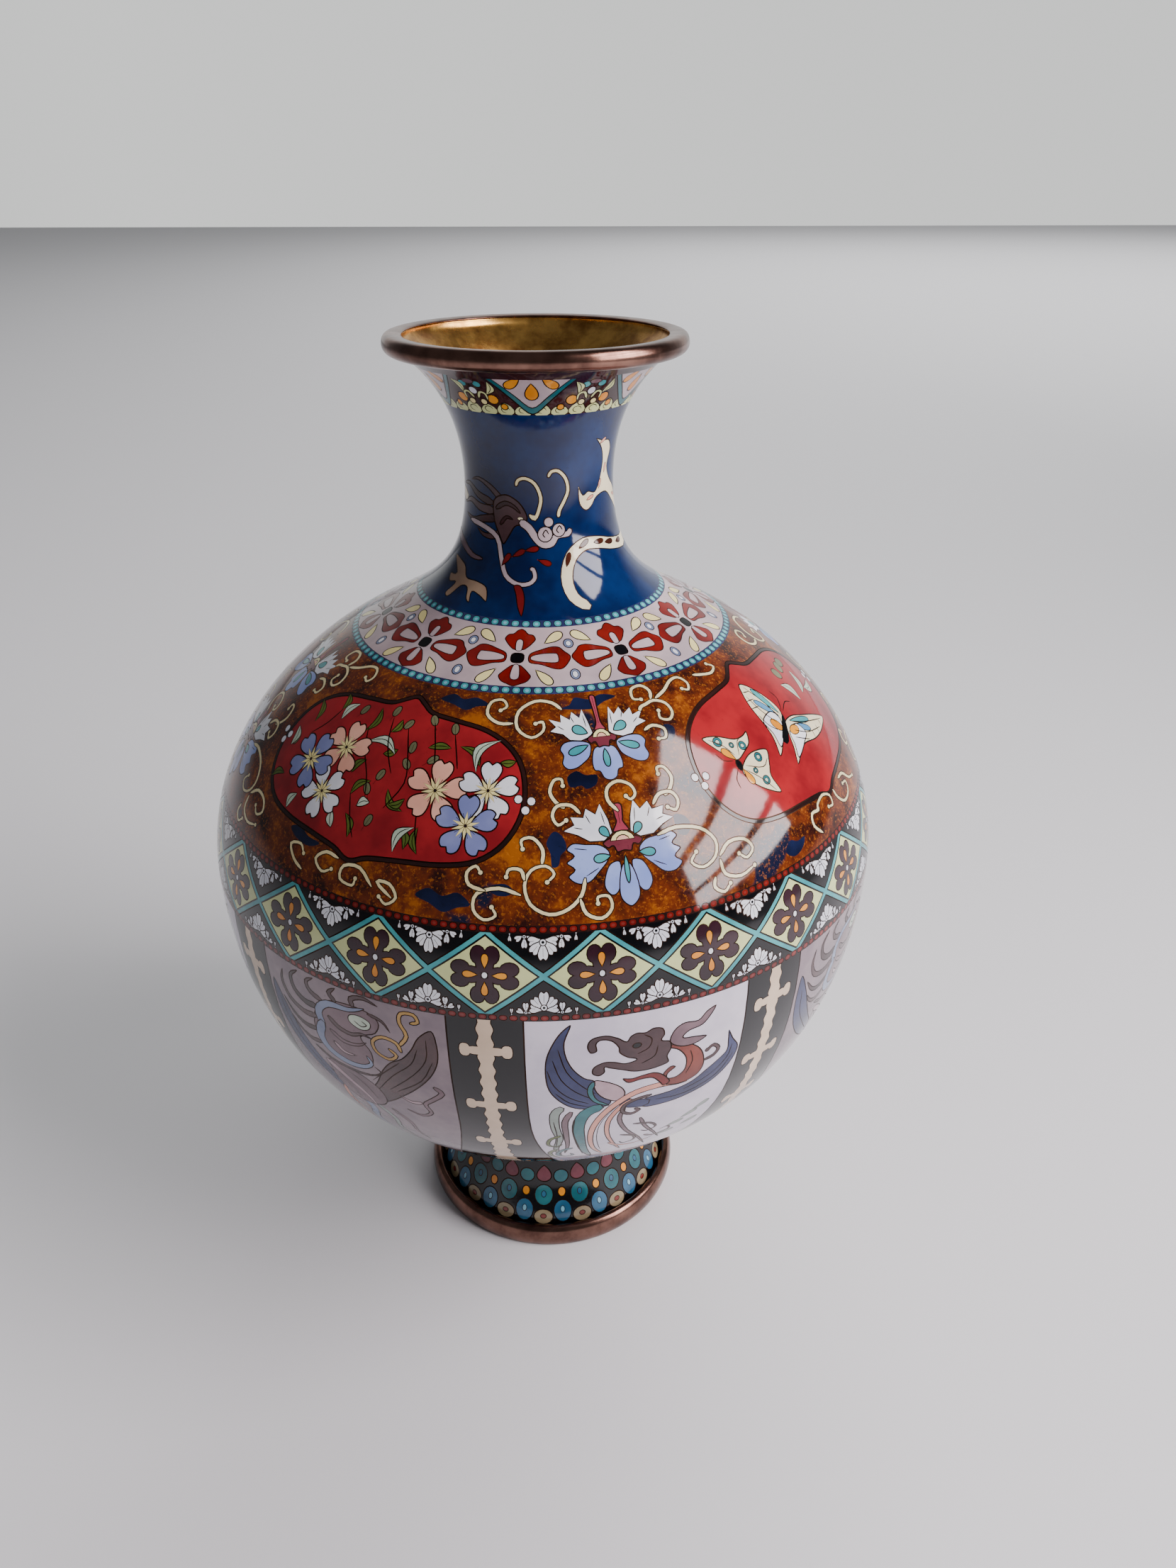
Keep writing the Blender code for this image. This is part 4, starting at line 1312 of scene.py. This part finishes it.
# %% [markdown]
# On the left a leg ends in a claw. Small flames fill the ground about the beast, and a pale
# cloud trails away to the right, round the neck.

# %% Its claw, and the flames and the cloud about it
ribbon(neck, [(-86.0, 255.0), (-68.0, 253.4), (-52.0, 251.6), (-41.0, 251.4)], 2.0, "plum_grey", 0.5)
neck.cell(smooth([
    (-72.0, 250.0), (-56.0, 249.2), (-49.0, 246.6), (-40.0, 246.4), (-32.0, 245.4), (-29.0, 242.0),
    (-34.0, 243.0), (-40.0, 243.6), (-38.4, 241.0), (-41.6, 241.6), (-45.0, 244.2), (-50.0, 244.0),
    (-54.0, 240.6), (-58.0, 241.4), (-56.0, 244.4), (-62.0, 244.0), (-66.0, 245.8),
    (-60.0, 246.6)]), "tan", 0.24)
neck.cell(smooth([
    (-16.0, 246.6), (-11.4, 246.6), (-8.6, 243.6), (-9.2, 239.2), (-12.0, 241.4), (-14.0, 244.4)]),
    "flame", 0.22)
for theta, s, turn in ((-20.0, 252.8, 60), (-11.6, 254.4, 80), (-26.0, 250.6, 30), (-2.6, 252.6, 110)):
    neck.cell(lay(petal(3.6, 1.5), theta, s, turn), "flame", 0.2)
neck.cell(smooth([
    (30.0, 267.8), (34.0, 265.8), (39.0, 266.4), (46.0, 266.0), (51.0, 268.4), (53.4, 272.0),
    (50.0, 275.2), (42.6, 277.8), (50.0, 277.2), (58.0, 276.8), (63.0, 274.4), (61.0, 270.8),
    (66.0, 268.0), (76.0, 265.4), (90.0, 261.0), (104.0, 259.6), (104.0, 257.0), (88.0, 258.4),
    (72.0, 262.2), (60.0, 265.0), (48.0, 264.6), (42.0, 262.8), (36.0, 262.2), (30.6, 264.0)]),
    "ivory", 0.24)
for theta, s, turn in (
    (50.0, 266.2, 20), (56.6, 269.4, 10), (47.0, 276.4, 60), (37.0, 264.4, 70), (72.0, 264.0, 110),
):
    neck.cell(lay(petal(2.4, 0.9, 0.3), theta, s, turn), "salmon", 0.14)
for theta, s, turn in (
    (120.0, 274.0, 70), (170.0, 246.0, 60), (-140.0, 272.0, 40), (-120.0, 247.0, 80),
    (150.0, 276.0, 110), (-100.0, 272.0, 60),
):
    neck.cell(lay(petal(5.0, 2.2), theta, s, turn), "flame", 0.2)
    neck.cell(lay(petal(4.0, 1.9), theta, s, turn + 60), "lilac", 0.2)
neck.hang(1)

# %% [markdown]
# ## The mouth
# Six pointed lappets hang under the rim. Between them the ground is dark, with amber buds and
# a scalloped pale edge. A lappet is two halves mirrored, a teal one and a lilac one inside it,
# and their tops run on past the band, which is cut there. From the cut up to the lip the wall
# is plain maroon: painted shade under the rim, hidden by the rim at its top.

# %% Lappets of the mouth
LAPPET = -2.7
mouth = Band(284.2, 294.6, 60.0, LAPPET - 30.0, "maroon", 2.2)
for number, theta in enumerate(np.arange(LAPPET - 25.0, LAPPET + 30.0, 10.0)):
    mouth.cell(lay(drop(3.2 + 0.5 * (number % 2), 4.0, 0.25, 12), theta, 284.1), "pale_green", 0.22)
    mouth.line(lay(oval(1.9, 1.5, 8)[:7], theta, 285.8), 0.18)
lowest = [(31.0, 284.6), (-31.0, 284.6), (-31.0, 283.0), (31.0, 283.0)]
mouth.fill(np.array([(LAPPET + across, s) for across, s in lowest]), "deep_blue")
for side in (-1.0, 1.0):
    for across, s, size, paint in (
        (20.6, 288.4, 2.8, "orange"), (26.4, 287.6, 1.8, "pale_yellow"), (15.2, 286.6, 1.8, "orange"),
        (26.0, 292.6, 2.2, "turquoise"),
    ):
        mouth.cell(lay(oval(size, size, 12), LAPPET + side * across, s), paint, 0.24)
    leaf(mouth, LAPPET + side * 23.4, 289.6, 4.4, 1.9, side * -20, "pale_green", 0.2)
    curl = ((28.8, 288.4), (26.6, 290.2), (23.8, 289.8), (23.6, 288.0))
    ribbon(mouth, [(LAPPET + side * x, s) for x, s in curl], 0.9, "pale_green", 0.7, 0.2)
mouth.cell(lay(oval(2.2, 2.4, 12), LAPPET + 30.0, 290.6), "white", 0.24)
mouth.cell(lay(oval(3.0, 1.8, 12), LAPPET + 30.0, 293.4), "plum_grey", 0.24)
mouth.cell(smooth(mirrored([(0.0, 297.0), (22.0, 297.0), (20.4, 294.6), (10.6, 288.6), (0.0, 284.7)])
                  + [LAPPET, 0.0]), "teal")
mouth.cell(smooth(mirrored([(0.0, 297.0), (18.8, 297.0), (17.6, 294.6), (9.2, 289.8), (0.0, 286.3)])
                  + [LAPPET, 0.0]), "lilac", 0.25)
mouth.cell(lay(petal(5.2, 3.0, 0.5), LAPPET, 293.6, 180), "orange", 0.25)
for side in (-1.0, 1.0):
    mouth.cell(lay(petal(5.0, 2.6, 0.5), LAPPET + side * 4.4, 295.4, side * 136), "orange", 0.25)
mouth.hang(6)
# From the lappets' cut up to the lip the wall is plain maroon: painted shade under the rim.
rim_shade_band = Band(294.6, 301.7, 6.0, 0.0, "maroon", 2.2)
rim_shade_band.hang(60)


# %% [markdown]
# ## Writing materials as sums
# A finish is easier to read as arithmetic than as a web of boxes. A Value stands for one
# number that varies over the surface; adding or multiplying two of them adds the node that
# does so. A Finish holds the nodes of one material, and one method adds any other node.

# %% A small language for shader nodes
class Value:
    """A number that varies over a surface. Arithmetic on it adds Math nodes."""

    def __init__(self, finish, socket):
        self.finish = finish
        self.socket = socket

    def math(self, operation, first, second):
        """One Math node on two values or numbers."""
        return self.finish.node("ShaderNodeMath", {"operation": operation}, {0: first, 1: second})

    def __add__(self, other):
        return self.math("ADD", self, other)

    __radd__ = __add__

    def __mul__(self, other):
        return self.math("MULTIPLY", self, other)

    __rmul__ = __mul__

    def __sub__(self, other):
        return self.math("SUBTRACT", self, other)

    def __rsub__(self, other):
        return self.math("SUBTRACT", other, self)

    def __pow__(self, other):
        return self.math("POWER", self, other)

    def above(self, level, soft):
        """0 below a level and 1 above it, with a soft step between."""
        return self.finish.node(
            "ShaderNodeMapRange", {"interpolation_type": "SMOOTHSTEP"},
            {0: self, 1: level - soft, 2: level + soft},
        )


class Finish:
    """The shader nodes of a material or of the room's air, on object coordinates."""

    def __init__(self, owner, shader="Principled BSDF"):
        owner.use_nodes = True
        self.owner = owner
        self.tree = owner.node_tree
        self.shader = self.tree.nodes[shader]
        self.place = self.node("ShaderNodeTexCoord", {}, {}, "Object")

    def node(self, kind, settings, inputs, output=0):
        """Add a node: its settings first, then the values or links of its sockets."""
        made = self.tree.nodes.new(kind)
        for name, setting in settings.items():
            setattr(made, name, setting)
        for name, value in inputs.items():
            self.join(made.inputs[name], value)
        return Value(self, made.outputs[output])

    def join(self, socket, value):
        """Link a Value to a socket, or set the socket's own value."""
        if isinstance(value, Value):
            self.tree.links.new(value.socket, socket)
        elif isinstance(value, tuple) and len(value) == 3 and socket.type == "RGBA":
            socket.default_value = (*value, 1.0)
        else:
            socket.default_value = value

    def noise(self, scale, detail=2.0, rough=0.5):
        """Cloudy noise from 0 to 1; scale is its number of clouds in a metre."""
        return self.node(
            "ShaderNodeTexNoise", {},
            {"Vector": self.place, "Scale": scale, "Detail": detail, "Roughness": rough},
        )

    def grains(self, scale, output="Color"):
        """Small cells, each with a random colour, or the distance to the cell's middle."""
        return self.node("ShaderNodeTexVoronoi", {}, {"Vector": self.place, "Scale": scale}, output)

    def mix(self, share, first, second):
        """From the first colour to the second by a share."""
        return self.node(
            "ShaderNodeMix", {"data_type": "RGBA"}, {0: share, 6: first, 7: second}, 2
        )

    def set(self, **sockets):
        """Give the shader's own sockets, spaces in their names written as underscores."""
        for name, value in sockets.items():
            self.join(self.shader.inputs[name.replace("_", " ")], value)

    def bump(self, height, depth):
        """A relief of some millimetres in depth, joined to the shader's normal."""
        self.set(Normal=self.node(
            "ShaderNodeBump", {}, {"Height": height, "Distance": depth * MM}
        ))


def rgb(red, green, blue):
    """A colour from 0 to 255 as the shader's linear light: its share to the power 2.2."""
    return tuple((channel / 255.0) ** 2.2 for channel in (red, green, blue))


print("half grey in linear light:", round(rgb(128, 128, 128)[0], 3))


# %% [markdown]
# ## The enamels
# The colours are chosen, each as two tones: the glass where it is light, and where
# it is thick or specked.

# %% Enamel colours
ENAMELS = {
    "deep_blue": ((9, 42, 88), (4, 23, 59)),
    "lilac": ((188, 170, 174), (164, 148, 154)),
    "panel_white": ((214, 206, 220), (196, 188, 206)),
    "white": ((232, 234, 240), (206, 210, 222)),
    "red": ((158, 36, 42), (118, 24, 32)),
    "dark_red": ((124, 30, 26), (88, 18, 18)),
    "maroon": ((62, 32, 34), (40, 22, 24)),
    "brown": ((76, 38, 26), (48, 24, 18)),
    "brown_dark": ((48, 26, 24), (30, 18, 18)),
    "turquoise": ((78, 164, 168), (52, 132, 142)),
    "teal": ((44, 110, 116), (26, 78, 88)),
    "blue_glaze": ((92, 150, 190), (62, 118, 164)),
    "pale_green": ((206, 212, 152), (190, 198, 138)),
    "pale_yellow": ((236, 226, 160), (218, 204, 140)),
    "cream": ((232, 220, 172), (208, 194, 146)),
    "white_green": ((196, 208, 190), (160, 180, 160)),
    "branch": ((220, 196, 172), (204, 178, 154)),
    "black": ((16, 16, 20), (8, 8, 12)),
    "periwinkle": ((146, 164, 220), (122, 140, 204)),
    "peach": ((232, 178, 156), (214, 154, 134)),
    "plum": ((54, 30, 40), (36, 20, 28)),
    "orange": ((226, 150, 40), (200, 120, 24)),
    "leaf_green": ((98, 112, 46), (62, 80, 34)),
    "bud": ((112, 112, 84), (88, 90, 66)),
    "navy": ((52, 58, 98), (34, 38, 72)),
    "sky": ((132, 186, 204), (104, 164, 188)),
    "brick": ((126, 50, 44), (100, 38, 34)),
    "sand": ((150, 136, 106), (122, 108, 84)),
    "blush": ((184, 158, 166), (160, 132, 142)),
    "leaf_dull": ((146, 156, 150), (118, 130, 124)),
    "plum_grey": ((122, 98, 106), (96, 74, 82)),
    "salmon": ((222, 158, 140), (200, 134, 118)),
    "russet": ((128, 58, 44), (98, 40, 34)),
    "umber": ((84, 60, 62), (60, 42, 46)),
    "slate_blue": ((128, 140, 168), (100, 112, 144)),
    "gold": ((190, 150, 84), (160, 122, 60)),
    "mauve": ((142, 126, 132), (120, 106, 115)),
    "iris": ((134, 142, 188), (110, 118, 168)),
    "tan": ((168, 142, 118), (136, 110, 92)),
    "sea_blue": ((58, 108, 140), (34, 76, 104)),
    "blue_black": ((26, 34, 66), (12, 16, 36)),
    "ivory": ((232, 222, 190), (214, 200, 166)),
    "rose": ((166, 70, 88), (132, 48, 66)),
    "rose_dark": ((112, 50, 62), (82, 34, 46)),
    "flame": ((124, 26, 28), (92, 18, 20)),
}
print("enamels:", len(ENAMELS))

# %% [markdown]
# Enamel is glass. It is glossy, its colour drifts a little within a cell, and the grinding
# leaves faint waves and a few pin holes. The amber is a glass full of copper glints, and its
# clouds are noise in three tones. The metals drift too, in tone and in shine. What is the
# same all over, such as the glass's index, is set on the shader's own socket.

# %% Glass and metal
GLOSS = 0.04
LEAD_GLASS = 1.5
WAVES = 70.0
WAVE_DEPTH = 0.08
METAL_GRAIN_DEPTH = 0.012


def enamel(name, light, dark):
    """Glass whose colour drifts between two tones, with waves and pin holes."""
    glass = Finish(bpy.data.materials.new(name))
    drift = glass.noise(90.0, 3.0, 0.6)
    specks = glass.noise(900.0, 2.0, 0.6).above(0.68, 0.04)
    tone = glass.mix(drift.above(0.5, 0.22), rgb(*light), rgb(*dark))
    glass.set(Base_Color=glass.mix(specks * 0.35, tone, rgb(*dark)))
    glass.set(Roughness=GLOSS + 0.07 * glass.noise(260.0, 3.0))
    waves = glass.noise(WAVES, 1.0) + 0.1 * glass.noise(500.0, 2.0)
    glass.bump(waves, WAVE_DEPTH)
    glass.set(IOR=LEAD_GLASS)
    return glass.owner


def amber_glass():
    """Amber clouds in red-brown glass by steps of noise, deep blue pools, copper glints."""
    glass = Finish(bpy.data.materials.new("amber"))
    cloud = glass.noise(130.0, 5.0, 0.68)
    ground = glass.mix(cloud.above(0.45, 0.10), rgb(42, 17, 14), rgb(96, 43, 20))
    ground = glass.mix(cloud.above(0.60, 0.08), ground, rgb(150, 84, 24))
    pool = glass.noise(58.0, 2.0, 0.5)
    ground = glass.mix(pool.above(0.66, 0.02), ground, rgb(24, 26, 48))
    glint = glass.grains(1500.0, "Distance")
    sparkle = glass.noise(1400.0, 2.0, 0.7).above(0.6, 0.05)
    ground = glass.mix(sparkle * 0.3, ground, rgb(196, 116, 38))
    glass.set(Base_Color=ground, Roughness=GLOSS + 0.06 * glint, IOR=LEAD_GLASS)
    glass.bump(glass.noise(WAVES, 1.0), 1.25 * WAVE_DEPTH)
    return glass.owner


def metal(name, light, dark, rough, grain):
    """Metal whose tone and shine drift, with a fine worked surface."""
    sheet = Finish(bpy.data.materials.new(name))
    drift = sheet.noise(120.0, 4.0, 0.65)
    sheet.set(Base_Color=sheet.mix(drift.above(0.5, 0.2), rgb(*light), rgb(*dark)))
    sheet.set(Roughness=rough + 0.14 * sheet.noise(300.0, 2.0), Metallic=1.0)
    sheet.bump(sheet.noise(grain, 2.0, 0.5), METAL_GRAIN_DEPTH)
    return sheet.owner


finishes = {name: enamel(name, *tones) for name, tones in ENAMELS.items()}
finishes["amber"] = amber_glass()
finishes["wire"] = metal("wire", (58, 42, 34), (34, 25, 21), 0.3, 900.0)
finishes["rim_copper"] = metal("rim_copper", (136, 102, 90), (88, 64, 57), 0.16, 700.0)
finishes["gilt"] = metal("gilt", (240, 186, 102), (146, 98, 52), 0.2, 500.0)
print("finishes:", len(finishes))


# %% [markdown]
# ## Making the pieces
# Each enamel colour becomes one piece: all its cells, merged where the repeats of a band
# meet. Its normals come from the section, not from its own triangles, so that light runs
# over the joints between cells as it does over ground glass.

# %% From arrays to pieces
NEAR = 0.002


def piece(name, corners, faces, finish, normals=None):
    """A mesh object at the origin, in metres, that rides on the vase."""
    mesh = bpy.data.meshes.new(name)
    mesh.from_pydata(corners.tolist(), [], faces)
    mesh.polygons.foreach_set("use_smooth", np.ones(len(faces), bool))
    mesh.materials.append(finish)
    if normals is not None:
        mesh.normals_split_custom_set_from_vertices(normals.tolist())
    mesh.update()
    made = bpy.data.objects.new(name, mesh)
    bpy.context.scene.collection.objects.link(made)
    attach(made, "root")
    return made


def joined(parts):
    """The parts of one paint as one mesh: corners closer than NEAR are made one.

    Each corner is rounded to a whole number of NEAR, and equal ones keep their first.
    Triangles that lose a corner by this, and corners that no triangle uses, are left out.
    """
    chart = np.vstack([corners for corners, faces in parts])
    starts = np.cumsum([0] + [len(corners) for corners, faces in parts[:-1]])
    faces = np.vstack([faces + start for (corners, faces), start in zip(parts, starts)])
    place, normal = on_vase(chart)
    key = np.round(place / (NEAR * MM)).astype(int)
    rounded, keep, numbers = np.unique(key, axis=0, return_index=True, return_inverse=True)
    faces = numbers.reshape(-1)[faces]
    distinct = (
        (faces[:, 0] != faces[:, 1]) & (faces[:, 1] != faces[:, 2]) & (faces[:, 2] != faces[:, 0])
    )
    used, numbers = np.unique(faces[distinct], return_inverse=True)
    keep = keep[used]
    return place[keep], numbers.reshape(-1, 3), normal[keep]


total = 0
for paint, parts in laid.items():
    place, faces, normal = joined(parts)
    slot = "wire" if paint == "wire" else "enamel"
    name = "wires" if paint == "wire" else "enamel_" + paint
    piece(name, place, faces.tolist(), finishes[paint], normal)
    total += len(faces)
    print(name, len(faces), "triangles")
print("all cells:", total, "triangles")


# %% [markdown]
# ## The vessel and its rims
# Under the enamel is the copper vessel, spun or beaten over stakes. A turned thing is its
# section carried round the axis, so one function makes the vessel and both rims: whole arrays
# of radius times sine and cosine, with a fan of triangles where the section meets the axis.

# %% Turned pieces
AROUND = 192


def turned(name, section, finish, closed):
    """A surface of revolution: the section's radius times (sine, minus cosine), its height.

    A closed section gives a ring. An open one starts and ends on the axis, and each of its
    ends becomes one corner that a fan of triangles joins to the ring beside it.
    """
    angle = np.linspace(0.0, 2 * math.pi, AROUND, endpoint=False)
    rings = section if closed else section[1:-1]
    radius = rings[:, 0][:, None]
    corners = np.stack([
        radius * np.sin(angle), -radius * np.cos(angle),
        np.repeat(rings[:, 1][:, None], AROUND, axis=1),
    ], axis=2).reshape(-1, 3)
    ring = np.arange(len(rings) if closed else len(rings) - 1)[:, None] * AROUND
    here = np.arange(AROUND)[None]
    there = (here + 1) % AROUND
    above = (ring + AROUND) % len(corners)
    quads = np.stack([ring + here, ring + there, above + there, above + here], axis=2)
    faces = quads.reshape(-1, 4).tolist()
    if not closed:
        last = len(corners) - AROUND
        first_pole = np.full_like(here, len(corners))
        faces += np.stack([first_pole, there, here], axis=2)[0].tolist()
        faces += np.stack([last + here, last + there, first_pole + 1], axis=2)[0].tolist()
        poles = [(0.0, 0.0, section[0, 1]), (0.0, 0.0, section[-1, 1])]
        corners = np.vstack([corners, poles])
    return piece(name, corners * MM, faces, finish)


def shifted(points, distance):
    """Section points moved square to their run, to its left, by a distance."""
    along = np.gradient(points, axis=0)
    along /= np.linalg.norm(along, axis=1)[:, None]
    return points + distance * np.stack([-along[:, 1], along[:, 0]], axis=1)


print("turned pieces:", AROUND, "corners round the axis")

# %% [markdown]
# The vessel is one closed shape: up the inside, over the lip, down the outside just under
# the enamel, round the foot and up into the recess below. The inside is the outside moved in
# by the wall, and two curves that leave the axis level close it above and below the floor.

# %% The copper vessel
SINK = 0.12
FLOOR_RISE = 8.5
FLOOR = 2.0
FLOOR_LEVEL, FLOOR_SWEEP = 0.45, 0.28
RECESS_LEVEL, RECESS_RISE = 0.6, 0.7
skin = shifted(SECTION, SINK)
skin[0, 1] = SECTION[0, 1]
skin[-1, 1] = SECTION[-1, 1]
start_of_belly = 2 * FINE
lining = shifted(SECTION[start_of_belly::4], WALL)
lining[-1] = SECTION[-1] - [WALL, 0.0]
floor_top = STATIONS["waist"][1] + FLOOR_RISE + FLOOR
reach = lining[0, 0]
floor = cubic(
    np.array([0.0, floor_top]), np.array([FLOOR_LEVEL * reach, 0.0]),
    -FLOOR_SWEEP * reach * toward(UNDERSIDE_SLOPE), lining[0], 20,
)
skirt = shifted(SECTION[:FINE + 1:4], WALL)
skirt[0] = SECTION[0] - [WALL, 0.0]
under_top = np.array([0.0, floor_top - FLOOR])
height = under_top[1] - skirt[-1, 1]
recess = cubic(
    skirt[-1], up(RECESS_RISE * height), np.array([RECESS_LEVEL * skirt[-1, 0], 0.0]),
    under_top, 16,
)
shell_section = np.vstack([floor, lining, skin[::-1][::2], skirt[:-1], recess, under_top[None]])
shell = turned("copper_vessel", shell_section[::-1], finishes["gilt"], False)
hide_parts("vase_body")
print("vessel:", len(shell_section), "points in its section")

# %% [markdown]
# The rims are beads of polished copper. The one at the mouth is drawn point by point from
# the lip's edge: it lies on the lip, rounds over it and turns in under it. The one at the foot
# is an oval cut flat where the vase stands, kept a small gap clear of the wall.

# %% Rims
RIM_GAP = 0.3
FOOT_RIM_REACH = 0.9
FOOT_RIM_LEVEL = 2.9
FOOT_RIM_SIZE = (3.8, 7.4)
# The mouth rim's section in millimetres outwards and upwards from the lip's edge
MOUTH_RIM = [
    (-1.95, 0.1), (0.1, 0.12), (0.3, 0.0), (0.25, -1.0), (-0.1, -2.2), (-0.5, -3.0), (0.1, -3.45),
    (0.9, -3.4), (1.7, -2.9), (2.2, -2.1), (2.28, -1.2), (2.03, -0.2), (1.4, 0.46), (0.5, 0.67),
    (-0.5, 0.63), (-1.5, 0.5), (-2.02, 0.3),
]


def rim_section(centre, width, height, low):
    """An oval by the cosine and sine of an angle, no lower than low and clear of the wall.

    The gap is measured level, so it is lengthened by the wall's lean at each height.
    """
    a = np.linspace(0.0, 2 * math.pi, 36, endpoint=False)
    radius = centre[0] + 0.5 * width * np.cos(a)
    level = np.maximum(centre[1] + 0.5 * height * np.sin(a), low)
    rising = np.argsort(SECTION[:, 1])
    wall = np.interp(level, SECTION[rising, 1], SECTION[rising, 0])
    lean = np.gradient(SECTION[rising, 0], SECTION[rising, 1] + 1e-6 * np.arange(len(SECTION)))
    gap = RIM_GAP * np.sqrt(1.0 + np.interp(level, SECTION[rising, 1], lean) ** 2)
    return np.stack([np.maximum(radius, wall + gap), level], axis=1)


mouth_rim = smooth(MOUTH_RIM, finer=2) + np.array(STATIONS["lip"])
foot_centre = (STATIONS["skirt"][0] + FOOT_RIM_REACH, FOOT_RIM_LEVEL)
foot_rim = rim_section(foot_centre, *FOOT_RIM_SIZE, 0.0)
for name, section in (("mouth_rim", mouth_rim), ("foot_rim", foot_rim)):
    ring = turned(name + "_bead", section, finishes["rim_copper"], True)
    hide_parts(name)
    print(name, "section:", len(section), "points")


# %% [markdown]
# ## Floor, light and camera
# The vase stands on a plain pale floor, wide enough that its far edge lies near the horizon.

# %% The floor
FLOOR_REACH = 6.0
floor_finish = Finish(bpy.data.materials.new("floor"))
floor_finish.set(Base_Color=rgb(226, 226, 230), Roughness=0.6)
floor_corners = FLOOR_REACH * np.array([(-1, -1, 0), (1, -1, 0), (1, 1, 0), (-1, 1, 0)])
floor_mesh = bpy.data.meshes.new("floor")
floor_mesh.from_pydata(floor_corners.tolist(), [], [(0, 1, 2, 3)])
floor_mesh.materials.append(floor_finish.owner)
floor_object = bpy.data.objects.new("floor", floor_mesh)
bpy.context.scene.collection.objects.link(floor_object)
print("floor:", 2 * FLOOR_REACH, "m wide")

# %% [markdown]
# The room is a soft light from all round: bright on the side behind the vase, and dim on the
# others, so that glossy enamel stays deep in colour at the front. How near a direction is to
# the bright side's is their dot product, and a soft step turns it to light.

# %% The room
BRIGHT_LIGHT = (0.92, 0.93, 0.92)
ROOM_IN_SHADE = (0.12, 0.12, 0.125)
BRIGHT_WAY = (0.12, 0.99, 0.0)
BRIGHT_EDGE, BRIGHT_SOFTNESS = 0.74, 0.18
room = Finish(bpy.data.worlds.new("room"), "Background")
nearness = room.node(
    "ShaderNodeVectorMath", {"operation": "DOT_PRODUCT"}, {0: room.place, 1: BRIGHT_WAY}, "Value"
)
bright = nearness.above(BRIGHT_EDGE, BRIGHT_SOFTNESS)
room.set(Color=room.mix(bright, ROOM_IN_SHADE, BRIGHT_LIGHT))
bpy.context.scene.world = room.owner
print("room: bright toward", BRIGHT_WAY)

# %% [markdown]
# The belly and the neck mirror a window on the right, with bars between its panes. Each pane
# is a rectangular lamp, and the dark gaps between the lamps are the bars.

# %% The window's panes
WINDOW_DISTANCE = 0.8
WINDOW_NEAR = 0.16
WINDOW_WIDTH = 0.9
WINDOW_LIGHT = 15.0
WINDOW_TINT = (1.0, 0.93, 0.94)
WINDOW_ANGLE = 100.0
PANES = ((0.29, 0.43), (0.474, 0.73), (0.81, 1.45))


def level_way(angle):
    """A level direction: (sine, minus cosine) of an angle in degrees from the front."""
    return np.array([math.sin(math.radians(angle)), -math.cos(math.radians(angle)), 0.0])


def area_light(name, place, way, width, height, radiance, colour):
    """A rectangular lamp that shines along a way.

    Its power is its area times pi times the radiance that its face shows.
    """
    lamp = bpy.data.lights.new(name, "AREA")
    lamp.shape = "RECTANGLE"
    lamp.size = width
    lamp.size_y = height
    lamp.energy = math.pi * width * height * radiance
    lamp.color = colour
    made = bpy.data.objects.new(name, lamp)
    bpy.context.scene.collection.objects.link(made)
    made.location = place
    flat = math.hypot(way[0], way[1])
    tilt = math.atan2(flat, -way[2])
    swing = math.atan2(way[1], way[0]) - 0.5 * math.pi
    made.rotation_euler = (tilt, 0.0, swing)
    return made


facing = level_way(WINDOW_ANGLE)
along_window = level_way(WINDOW_ANGLE - 90.0)
for low, high in PANES:
    place = WINDOW_DISTANCE * facing + (WINDOW_NEAR + 0.5 * WINDOW_WIDTH) * along_window
    place[2] = 0.5 * (low + high)
    area_light("pane", place, -facing, WINDOW_WIDTH, high - low, WINDOW_LIGHT, WINDOW_TINT)
print("panes:", len(PANES))

# %% [markdown]
# The floor runs on far behind the vase. A wide lamp high over it keeps it pale. The lamp
# lights only dull surfaces, so the vase doesn't mirror it.

# %% Light for the far floor
FAR_PLACE = (1.5, 2.6, 1.6)
FAR_SIZE = (4.2, 3.2)
FAR_LIGHT = 2.4
FAR_TINT = (1.0, 0.99, 0.98)
far_light = area_light("far_floor", FAR_PLACE, (0.0, 0.0, -1.0), *FAR_SIZE, FAR_LIGHT, FAR_TINT)
far_light.visible_glossy = False
print("far floor:", round(far_light.data.energy), "W")

# %% [markdown]
# The camera stands close and looks down on the shoulder, as a hand-held one does. Its place,
# its tilt and its focal length were fitted to the vase's outline and bands.

# %% The camera
SENSOR = 36.0
FOCAL_PIXELS = 1606.4
IMAGE_HEIGHT = 2212.0
CAMERA_PLACE = (0.0, -0.26405, 0.2768)
CAMERA_DOWN = 28.622
CAMERA_RIGHT = 2.453
camera = bpy.data.cameras.new("camera")
camera.sensor_width = SENSOR
camera.sensor_height = SENSOR
camera.lens = FOCAL_PIXELS / IMAGE_HEIGHT * SENSOR
camera.clip_start = 0.01
camera_object = bpy.data.objects.new("camera", camera)
bpy.context.scene.collection.objects.link(camera_object)
camera_object.location = CAMERA_PLACE
camera_object.rotation_euler = (math.radians(90.0 - CAMERA_DOWN), 0.0, math.radians(-CAMERA_RIGHT))
bpy.context.scene.camera = camera_object
print("camera: lens", round(camera.lens, 2), "mm")
